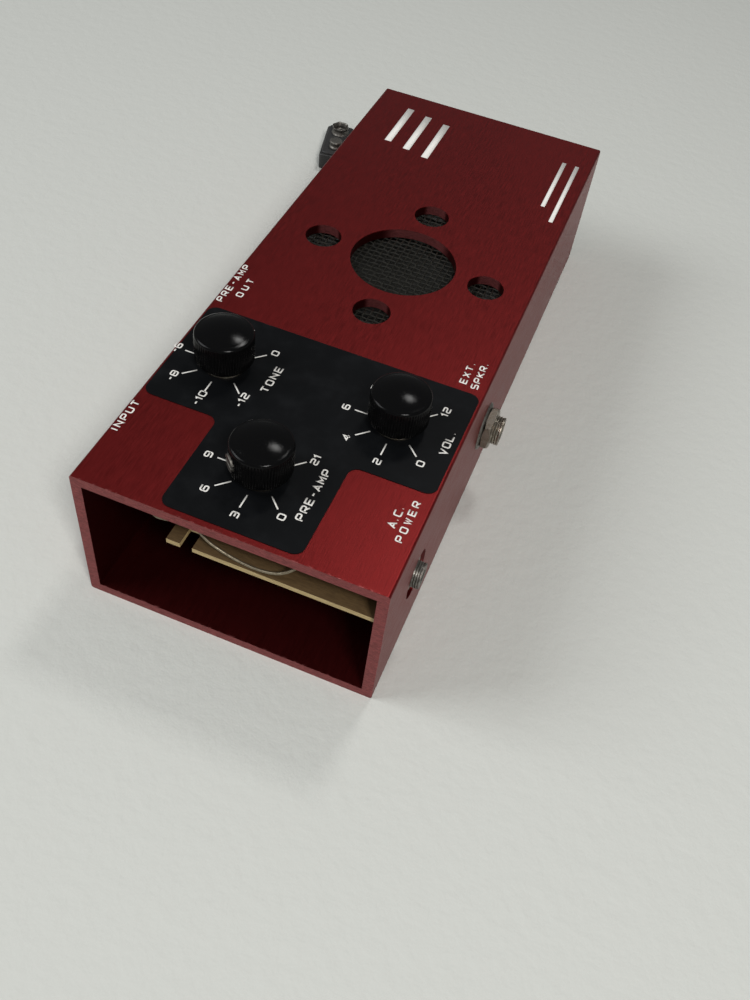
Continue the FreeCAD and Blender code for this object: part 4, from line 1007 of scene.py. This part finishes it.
class SpeakerConeOperator(bpy.types.Operator):
    """Paper cone with its dust cap, edge ring and damper"""

    bl_idname = "amplifier.speaker_cone"
    bl_label = "Cone"

    def execute(self, context):
        self.x, self.y = middle("speaker_cone")[:2]
        self.cone()
        self.dust_cap()
        self.edge_ring()
        self.damper()
        refinish("copper", "voice_coil")
        return {"FINISHED"}

    def ring(self, name, profile, finish, node, sides, body=ROOT, slot="cone_paper"):
        shape = moved(lathe(profile, sides, hollow=True), (self.x, self.y, 0))
        return piece(name, shape, FINISHES[finish], body, (node,))

    def cone(self):
        """The height rises as one less the power 1.25 of what is left of the width, with three
        low ripples of sine near the rim."""
        node = "speaker_cone"
        low, high = span(node)
        top, neck = high[2], low[2]
        rim, throat, thick, ripple = radius_of(node), 8.25 * MM, 0.4 * MM, 0.22 * MM
        lip = rim - 2.2 * MM
        t = np.linspace(0, 1, 60)
        radius = throat + (lip - throat) * t
        level = neck + thick + (top - neck - thick) * (1 - (1 - t) ** 1.25)
        wave = ripple * np.sin(np.clip((t - 0.55) / 0.4, 0, 1) * 6 * np.pi)
        level = level + wave - ripple * (t > 0.55) * (t < 0.97)
        upper = np.vstack([np.stack([radius, level], 1), [(rim, top)]])
        profile = np.vstack([upper - [0, thick], upper[::-1]])
        self.ring("cone_pressed", profile, "cone", node, 120, CONE)

    def dust_cap(self):
        """A quarter of an ellipse, and a smaller one inside it, carried round Z."""
        low, high = span("speaker_dust_cap")
        wide, rise, pole, side, crown = 8.15 * MM, high[2] - low[2], 0.02 * MM, 0.5 * MM, 0.4 * MM
        turn = np.linspace(0, 1, 14)[:-1] * np.pi / 2
        outside = np.stack([wide * np.cos(turn), low[2] + rise * np.sin(turn)], 1)
        inside = np.stack([(wide - side) * np.cos(turn), low[2] + (rise - crown) * np.sin(turn)], 1)
        dome = np.vstack([[(pole, low[2] + rise - crown)], inside[::-1], outside, [(pole, high[2])]])
        piece("dust_cap_domed", moved(lathe(dome, 64), (self.x, self.y, 0)), FINISHES["cone"], CONE,
              ("speaker_dust_cap",))

    def edge_ring(self):
        """Three steps, each a smooth fall, from the clamped edge down to the cone."""
        node = "speaker_surround"
        low, high = span(node)
        outer, inner, thick, lift = radius_of(node), 27.2 * MM, 0.22 * MM, 0.25 * MM
        t = np.linspace(0, 1, 40)
        radius = outer + (inner - outer) * t
        step = t * 3 - np.sin(6 * np.pi * t) / (2 * np.pi)
        upper = np.stack([radius, high[2] - (high[2] - low[2] - lift) * step / 3], 1)
        profile = np.vstack([upper, upper[::-1] - [0, thick]])
        edge = self.ring("edge_ring_stepped", profile, "foam", node, 96, slot="soft_black")
        edge.parent = None
        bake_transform(edge)

    def damper(self):
        """Five ripples of sine between the coil and a foot that stands on the frame."""
        node = "speaker_spider"
        low, high = span(node)
        outer, inner, steps, thick = radius_of(node), 8.5 * MM, 60, 0.25 * MM
        t = np.linspace(0, 1, steps)
        radius = inner + (outer - 1.2 * MM - inner) * t
        level = high[2] - 0.5 * MM + 0.25 * MM * np.sin(10 * np.pi * t)
        foot = [(outer - 0.2 * MM, high[2] - 0.6 * MM), (outer, high[2] - 1.0 * MM), (outer, low[2])]
        upper = np.vstack([np.stack([radius, level], 1), foot])
        inward = np.vstack([np.tile([0, -thick], (steps, 1)),
                            [[-0.2 * MM, -thick], [-0.3 * MM, -0.1 * MM], [-0.3 * MM, 0]]])
        profile = np.vstack([upper + inward, upper[::-1]])
        damper = self.ring("damper_ribbed", profile, "damper", node, 96)
        damper.parent = None
        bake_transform(damper)


class SpeakerFrameOperator(bpy.types.Operator):
    """Pressed frame with windows, foam ring, magnet and its plates, and the terminals"""

    bl_idname = "amplifier.speaker_frame"
    bl_label = "Speaker frame"

    def execute(self, context):
        self.basket()
        self.rings()
        refinish("phenolic", "speaker_terminals")
        return {"FINISHED"}

    def basket(self):
        """A profile carried round Z, with the faces of six windows left out of its slope."""
        node = "speaker_basket"
        low, high = span(node)
        outer = radius_of(node)
        # the slope runs from its foot up to its top, and the seat lies inside the foot
        foot, foot_level = 20.6 * MM, low[2] + 1.0 * MM
        slope_top, slope_level = 32.9 * MM, high[2] - 0.6 * MM
        line = soften([(outer, high[2] - 1.0 * MM), (outer, high[2]), (33.5 * MM, high[2]),
                       (slope_top, slope_level), (foot, foot_level), (9.8 * MM, foot_level)], 0.5 * MM, 4)
        window_top, window_foot, window_rows = 31.0 * MM, 22.2 * MM, 5
        extra = np.linspace(window_top, window_foot, window_rows + 1)
        fall = np.interp(extra, [foot, slope_top], [foot_level, slope_level])
        above, below = line[line[:, 0] > window_top + 0.2 * MM], line[line[:, 0] < window_foot - 0.2 * MM]
        line = np.vstack([above, np.stack([extra, fall], 1), below])
        sides, share, rib = 144, 24, 4
        points, quads, fans = surface(carried(line[:, :1], line[:, 1:], around(sides))[::-1])
        row, column = np.divmod(np.arange(len(quads)), sides)
        row = len(line) - 2 - row
        window = (row >= len(above)) & (row < len(above) + window_rows)
        window &= (column % share >= rib) & (column % share < share - rib)
        shape = moved((points, quads[~window], fans), middle(node) * [1, 1, 0])
        frame_piece = piece("basket_pressed", shape, FINISHES["steel"], replaces=(node,))
        wall = frame_piece.modifiers.new("wall", "SOLIDIFY")
        wall.thickness = 1.0 * MM
        wall.offset = 1
        rounding = frame_piece.modifiers.new("rounding", "BEVEL")
        rounding.width = 0.15 * MM
        rounding.segments = 1
        rounding.limit_method = "ANGLE"
        rounding.angle_limit = np.radians(50)

    def rings(self):
        """The foam ring, the front plate and the magnet as washers, and the yoke, turned."""
        for name, node, inner, finish, slot, edge in (
            ("foam_ring", "speaker_gasket", 33.4, "foam", "soft_black", 0.3),
            ("front_plate_turned", "magnet_front_plate", 8.7, "steel", "plated_steel", 0.3),
            ("magnet_ring", "speaker_magnet", 12.0, "ferrite", "ferrite", 0.8),
        ):
            low, high = span(node)
            ring = washer(inner * MM, radius_of(node), low[2], high[2], edge * MM, 96)
            piece(name, moved(ring, middle(node) * [1, 1, 0]), FINISHES[finish], replaces=(node,))
        node = "magnet_yoke"
        low, high = span(node)
        outer, pole, axis, base = radius_of(node), 7.2 * MM, 0.02 * MM, low[2] + 3.0 * MM
        line = soften([(axis, low[2] + 1.5 * MM), (3.5 * MM, low[2] + 1.2 * MM), (4.2 * MM, low[2]),
                       (outer, low[2]), (outer, base), (pole, base), (pole, high[2]),
                       (axis, high[2])], 0.4 * MM)
        piece("yoke_turned", moved(lathe(line, 96), middle(node) * [1, 1, 0]), FINISHES["steel"],
              replaces=(node,))


# ---- Circuit board --------------------------------------------------------------------------


# Places on the board in millimetres: across, and in from the tube's near end
CANS = ((10.0, 46.0, 2.5, 7.0), (-8.0, 46.0, 2.5, 7.0), (12.0, 74.0, 4.0, 8.5), (-16.0, 76.0, 3.2, 8.0))
FILM_CAPACITORS = ((14.0, 16.0), (26.0, 16.0), (-12.0, 36.0))
RESISTORS = ((16.0, 37.5), (16.0, 41.0), (30.0, 33.0), (-6.0, 40.5),
             (4.0, 53.0), (-9.0, 54.0), (22.0, 78.0), (22.0, 74.0))
CHIP_PITCH = 2.54


class BoardOperator(bpy.types.Operator):
    """Chips, capacitors, resistors, solder and wires on the circuit board"""

    bl_idname = "amplifier.board"
    bl_label = "Circuit board"

    def execute(self, context):
        refinish("board", "circuit_board")
        refinish("white_wire", "speaker_wires", "jack_wires")
        self.top = span("circuit_board")[1][2]
        for node in ("preamp_chip", "amplifier_chip"):
            self.chip(node)
        self.cans()
        self.films()
        self.resistors()
        self.bare_wires()
        self.solder()
        return {"FINISHED"}

    def spot(self, x, y, level):
        """A place given across and in from the near end, as a point at a level."""
        return x * MM, (y - HALF_LENGTH) * MM, level

    def chip(self, node):
        """A moulded case on eight legs, each with a flat shoulder."""
        low, high = span(node)
        stand, leg_wide = 0.6 * MM, 0.5 * MM
        width = high[0] - low[0] - leg_wide
        x, y = middle(node)[:2]
        case = block((width, high[1] - low[1], high[2] - low[2] - stand), 0.35 * MM)
        piece(f"{node}_case", moved(case, (x, y, self.top + stand)), FINISHES["chip"],
              replaces=(node,))
        shoulder = block((0.9 * MM, 1.1 * MM, 0.35 * MM), 0.08 * MM)
        leg = block((0.35 * MM, 0.55 * MM, 2.1 * MM), 0.08 * MM)
        legs = []
        for side in (-1, 1):
            edge = x + side * width / 2
            for row in range(4):
                along = y + (row - 1.5) * CHIP_PITCH * MM
                legs += [moved(shoulder, (edge - side * 0.25 * MM, along, self.top + 1.9 * MM)),
                         moved(leg, (edge + side * 0.02 * MM, along, self.top))]
        piece(f"{node}_legs", joined(legs), FINISHES["tin"])

    def cans(self):
        """Sleeved cans: a rolled shoulder, a waist near the foot and a bare top."""
        shapes, tops = [], []
        pole = 0.02
        for x, y, radius, height in CANS:
            lid, disc = height - 0.05, radius - 0.75
            line = soften([(pole, 0), (radius - 0.3, 0), (radius, 0.5), (radius, 1.2), (radius - 0.3, 1.6),
                           (radius, 2.0), (radius, height - 0.5), (radius - 0.5, lid), (radius - 0.7, lid),
                           (pole, lid)], 0.25)
            shapes.append(moved(lathe(line * MM, 40), self.spot(x, y, self.top)))
            line = soften([(pole, 0), (disc, 0), (disc, 0.05), (pole, 0.05)], 0.02)
            tops.append(moved(lathe(line * MM, 40), self.spot(x, y, self.top + (height - 0.06) * MM)))
        piece("can_sleeves", joined(shapes), FINISHES["can"],
              replaces=("electrolytic_capacitors",))
        piece("can_tops", joined(tops), FINISHES["shaft"])

    def films(self):
        """Dipped blocks with full corners."""
        low, high = span("film_capacitors")
        shape = block((6.9 * MM, 2.9 * MM, high[2] - low[2]), 0.9 * MM, 1.2 * MM, 5)
        shapes = [moved(shape, self.spot(x, y, self.top)) for x, y in FILM_CAPACITORS]
        piece("film_capacitors_dipped", joined(shapes), FINISHES["amber"],
              replaces=("film_capacitors",))

    def resistors(self):
        """A waisted body between two round ends, with colour bands proud of it."""
        low, high = span("resistors")
        radius, half, pole, sides = (high[2] - low[2]) / 2, 3.15 * MM, 0.02 * MM, 28
        waist, inner, outer, band = radius * 0.84, radius * 0.8, radius * 0.88, 0.2 * MM
        line = soften([(pole, -half), (inner, -half), (radius, -half * 0.85), (radius, -half * 0.6),
                       (waist, -half * 0.5), (waist, half * 0.5), (radius, half * 0.6),
                       (radius, half * 0.85), (inner, half), (pole, half)], 0.2 * MM)
        stripe = lathe([(inner, -band), (outer, -band), (outer, band), (inner, band)], sides, hollow=True)
        bodies, bands = [], []
        for x, y in RESISTORS:
            place = self.spot(x, y, self.top + radius)
            bodies.append(moved(lathe(line, sides), place, (1, 0, 0)))
            for share in (-0.35, -0.1, 0.15, 0.4):
                bands.append(moved(stripe, (place[0] + share * half, *place[1:]), (1, 0, 0)))
        piece("resistor_bodies", joined(bodies), FINISHES["tan"],
              replaces=("resistors",))
        piece("resistor_bands", joined(bands), FINISHES["amber"])

    def bare_wires(self):
        """Two wires over the board's front edge; both ends of each stand upright on the board."""
        front, top, radius = -112.6, self.top / MM, 0.4 * MM
        arc = [(-14.0, front + 8, top), (-14.0, front + 8, top + 3), (-12.0, front + 3, top + 6.2),
               (-6.5, front, top + 5.2), (-1.5, front, top + 2.8), (4.0, front, top + 1.2),
               (10.0, front, top + 1.0), (15.5, front, top + 3.2), (19.5, front + 3, top + 5.8),
               (21.0, front + 9, top + 3.5), (21.0, front + 9, top)]
        tail = [(-16.5, front + 6, top), (-16.5, front + 6, top + 1.8), (-19.0, front + 2.5, top + 3.6),
                (-24.0, front + 2, top + 4.2), (-25.5, front + 9, top + 5.0), (-19.0, front + 14, top + 4.6),
                (-15.0, front + 16, top + 2.6), (-15.0, front + 16, top)]
        rope("bare_wire_arc", arc, radius, FINISHES["bare"], replaces=("bare_wires",))
        rope("bare_wire_tail", tail, radius, FINISHES["bare"])

    def solder(self):
        """Small domes under the board: the radius falls with the power 1.4 of the cosine and the
        height rises with the sine. They stand under the right-hand resistors, two of the film
        capacitors, one chip, three ends of the bare wires and the two battery leads."""
        under = span("circuit_board")[0][2]
        pair = (-1, 1)
        spots = [(x + s * 5.2, y) for x, y in RESISTORS if x > 0 for s in pair]
        spots += [(x + s * 2.5, y) for x, y in FILM_CAPACITORS if x > 0 for s in pair]
        spots += [(20.0 + s * 3.2, 30.0 + (row - 1.5) * CHIP_PITCH) for s in pair for row in range(4)]
        spots += [(-14.0, 9.7), (-16.5, 7.7), (21.0, 10.7), (0.0, 77.3), (-4.0, 77.3)]
        pole, turn = 0.02 * MM, np.linspace(0, 1, 7) * np.pi / 2
        line = np.stack([0.95 * MM * np.cos(turn) ** 1.4 + pole, 0.8 * MM * np.sin(turn)], 1)
        line = np.vstack([[(pole, -pole)], line])
        shapes = [moved(lathe(line, 20), self.spot(x, y, under), (0, 0, -1)) for x, y in spots]
        piece("solder_domes", joined(shapes), FINISHES["tin"])


# ---- Print ----------------------------------------------------------------------------------

LOOP = [(0, 0), (1, 0), (1, 1), (0, 1)]
# Each sign as lines on a unit square; the loop alone returns to its start
SIGNS = {
    "0": [LOOP], "O": [LOOP], "8": [LOOP, [(0, 0.5), (1, 0.5)]],
    "1": [[(0.3, 0.8), (0.62, 1), (0.62, 0)]],
    "2": [[(0, 1), (1, 1), (1, 0.5), (0, 0.5), (0, 0), (1, 0)]],
    "3": [[(0, 1), (1, 1), (1, 0), (0, 0)], [(0.2, 0.5), (1, 0.5)]],
    "4": [[(0.75, 0), (0.75, 1), (0, 0.3), (1.05, 0.3)]],
    "6": [[(1, 1), (0, 1), (0, 0), (1, 0), (1, 0.55), (0, 0.55)]],
    "7": [[(0, 1), (1, 1), (0.4, 0)]],
    "9": [[(0, 0), (1, 0), (1, 1), (0, 1), (0, 0.45), (1, 0.45)]],
    "-": [[(0.15, 0.5), (0.85, 0.5)]], ".": [[(0.15, 0.12), (0.4, 0.12)]],
    "A": [[(0, 0), (0.5, 1), (1, 0)], [(0.2, 0.32), (0.8, 0.32)]],
    "C": [[(1, 1), (0, 1), (0, 0), (1, 0)]],
    "E": [[(1, 1), (0, 1), (0, 0), (1, 0)], [(0, 0.5), (0.9, 0.5)]],
    "I": [[(0.5, 0), (0.5, 1)]], "K": [[(0, 0), (0, 1)], [(1, 1), (0.1, 0.5), (1, 0)]],
    "L": [[(0, 1), (0, 0), (1, 0)]], "M": [[(0, 0), (0, 1), (0.5, 0.35), (1, 1), (1, 0)]],
    "N": [[(0, 0), (0, 1), (1, 0), (1, 1)]], "P": [[(0, 0), (0, 1), (1, 1), (1, 0.42), (0, 0.42)]],
    "R": [[(0, 0), (0, 1), (1, 1), (1, 0.42), (0, 0.42)], [(0.5, 0.42), (1, 0)]],
    "S": [[(1, 1), (0, 1), (0, 0.5), (1, 0.5), (1, 0), (0, 0)]],
    "T": [[(0, 1), (1, 1)], [(0.5, 1), (0.5, 0)]], "U": [[(0, 1), (0, 0), (1, 0), (1, 1)]],
    "V": [[(0, 1), (0.5, 0), (1, 1)]], "W": [[(0, 1), (0.25, 0), (0.5, 0.8), (0.75, 0), (1, 1)]],
    "X": [[(0, 0), (1, 1)], [(0, 1), (1, 0)]],
}
# Signs with round corners, and the widths of the narrow ones against the rest
ROUND = set("0O82369CPRSU")
NARROW = {"I": 0.25, "1": 0.6, ".": 0.35, "-": 0.75}

# The numbers of each dial, at the degrees from +X where they stand
STEPS = (-45, -90, -135, 180, 135, 90, 45)
SCALES = {
    "preamp": ("0", "3", "6", "9", "13", "17", "21"),
    "volume": ("0", "2", "4", "6", "8", "10", "12"),
    "tone": ("-12", "-10", "-8", "-6", "-4", "-2", "0"),
}
# How far each number's middle stands from its dial, and its height, in millimetres
NUMBER_RING, NUMBER_HEIGHT = 15.4, 1.9

# Plain words for what each dial and socket does: text, foot line across, middle along, height
# and length, in millimetres
WORDS_ON_FILM = (("TONE", -12.3, -58.65, 2.0, 10.9), ("VOL.", 41.4, -59.4, 2.0, 9.2),
                 ("PRE-AMP", 15.6, -92.75, 2.0, 18.5))
WORDS_ON_PANEL = (
    ("INPUT", -41.6, -89.3, 1.9, 12.1), ("PRE-AMP", -41.6, -24.6, 1.9, 19.4),
    ("OUT", -37.3, -25.15, 1.9, 9.1), ("EXT.", 37.6, -29.4, 1.9, 9.6), ("SPKR.", 41.3, -29.0, 1.9, 12.0),
    ("A.C.", 37.7, -90.0, 1.9, 7.4), ("POWER", 41.0, -90.15, 1.85, 14.3),
)

# The bars at the far end in millimetres: across, from, to and width; three wide and two narrow
BARS = ((-30.0, 78.0, 104.0, 2.6), (-22.0, 76.0, 102.0, 2.6), (-14.0, 74.0, 100.0, 2.6),
        (34.0, 66.0, 98.0, 1.5), (39.0, 58.0, 98.0, 1.5))


class PrintOperator(bpy.types.Operator):
    """White lines, numbers and plain words on the film and on the panel"""

    bl_idname = "amplifier.print"
    bl_label = "Print"

    def execute(self, context):
        self.sizes = context.scene.amplifier_sizes
        for name in DIALS:
            shapes = self.ticks(name) + self.numbers(name)
            piece(f"{name}_scale_print", joined(shapes), FINISHES["white"], smooth=0)
        film = [shape for word in WORDS_ON_FILM for shape in self.word(FILM, *word)]
        panel = [shape for word in WORDS_ON_PANEL for shape in self.word(PANEL, *word)]
        piece("film_words_print", joined(film), FINISHES["white"], smooth=0)
        piece("panel_words_print", joined(panel), FINISHES["white"], smooth=0)
        piece("panel_bars_print", joined(self.bars()), FINISHES["white"], smooth=0)
        refinish("film", "legend_film")
        return {"FINISHED"}

    def ticks(self, name):
        x, y = middle(f"{name}_pot_shaft")[:2]
        angle = np.radians(STEPS)
        ways = np.stack([np.cos(angle), np.sin(angle)], 1)
        inner, outer, width, ink = 8.2 * MM, self.sizes.tick, 0.42 * MM, self.sizes.ink
        return [moved(ribbon([way * inner, way * outer], width, ink), (x, y, FILM)) for way in ways]

    def numbers(self, name):
        x, y = middle(f"{name}_pot_shaft")[:2] / MM
        shapes = []
        for text, angle in zip(SCALES[name], np.radians(STEPS)):
            foot = x + NUMBER_RING * np.cos(angle) + NUMBER_HEIGHT / 2
            shapes += self.word(FILM, text, foot, y + NUMBER_RING * np.sin(angle), NUMBER_HEIGHT)
        return shapes

    def word(self, level, text, foot_x, middle_y, height, length=None):
        """Signs set along +Y with their tops towards -X. Each stroke is a little higher than the
        one before, so that crossing strokes don't share a plane."""
        tall = height * MM
        wide, gap = tall * 0.92, tall * 0.36
        widths = np.array([NARROW.get(sign, 1.0) * wide for sign in text])
        if length:
            gap = (length * MM - widths.sum()) / (len(text) - 1)
        starts = np.concatenate([[0], np.cumsum(widths + gap)[:-1]])
        half = (starts[-1] + widths[-1]) / 2
        shapes = []
        for sign, start, width in zip(text, starts, widths):
            for rank, strokes in enumerate(SIGNS[sign]):
                line, closed = np.array(strokes, float), strokes is LOOP
                if sign == "1":
                    # this sign's own lines start at a quarter of the square
                    line[:, 0] = (line[:, 0] - 0.25) / NARROW[sign]
                line = line * [width, tall]
                if sign in ROUND:
                    line = soften(line, tall * 0.26, 4, closed)
                stroke, ink = self.sizes.stroke * height / 2, self.sizes.ink * (1 + 0.12 * rank)
                points, quads, fans = ribbon(line, stroke, ink, closed)
                placed = np.stack([foot_x * MM - points[:, 1], middle_y * MM - half + start + points[:, 0],
                                   points[:, 2] + level], 1)
                shapes.append((placed, quads, fans))
        return shapes

    def bars(self):
        """Plain bars at the far end."""
        shapes = []
        for x, low_y, high_y, width in BARS:
            line = [(x * MM, low_y * MM), (x * MM, high_y * MM)]
            shapes.append(moved(ribbon(line, width * MM, self.sizes.ink), (0, 0, PANEL)))
        return shapes


class TubeOperator(bpy.types.Operator):
    """The dyed tube's finish"""

    bl_idname = "amplifier.tube"
    bl_label = "Tube"

    def execute(self, context):
        refinish("red", "housing")
        return {"FINISHED"}


# ---- Panel and running order ----------------------------------------------------------------

OPERATORS = (StageOperator, SnapOperator, LeadsOperator, TubeOperator, PrintOperator, KnobsOperator,
             PotsOperator, SocketsOperator, GrilleOperator, SpeakerConeOperator, SpeakerFrameOperator,
             BoardOperator)


class AmplifierPanel(bpy.types.Panel):
    bl_label = "Amplifier"
    bl_idname = "VIEW3D_PT_amplifier"
    bl_space_type = "VIEW_3D"
    bl_region_type = "UI"
    bl_category = "Amplifier"

    def draw(self, context):
        for group in (context.scene.amplifier_sizes, context.scene.amplifier_colours):
            column = self.layout.column()
            for name in group.bl_rna.properties.keys():
                if name not in ("rna_type", "name"):
                    column.prop(group, name)
        for operator in OPERATORS:
            self.layout.operator(operator.bl_idname)


CLASSES = (AmplifierSizes, AmplifierColours, *OPERATORS, AmplifierPanel)


def register():
    for item in CLASSES:
        bpy.utils.register_class(item)
    bpy.types.Scene.amplifier_sizes = PointerProperty(type=AmplifierSizes)
    bpy.types.Scene.amplifier_colours = PointerProperty(type=AmplifierColours)


def unregister():
    del bpy.types.Scene.amplifier_colours
    del bpy.types.Scene.amplifier_sizes
    for item in reversed(CLASSES):
        bpy.utils.unregister_class(item)


def main():
    register()
    make_finishes(bpy.context.scene)
    for operator in OPERATORS:
        group, name = operator.bl_idname.split(".")
        getattr(getattr(bpy.ops, group), name)()


if __name__ == "__main__":
    main()
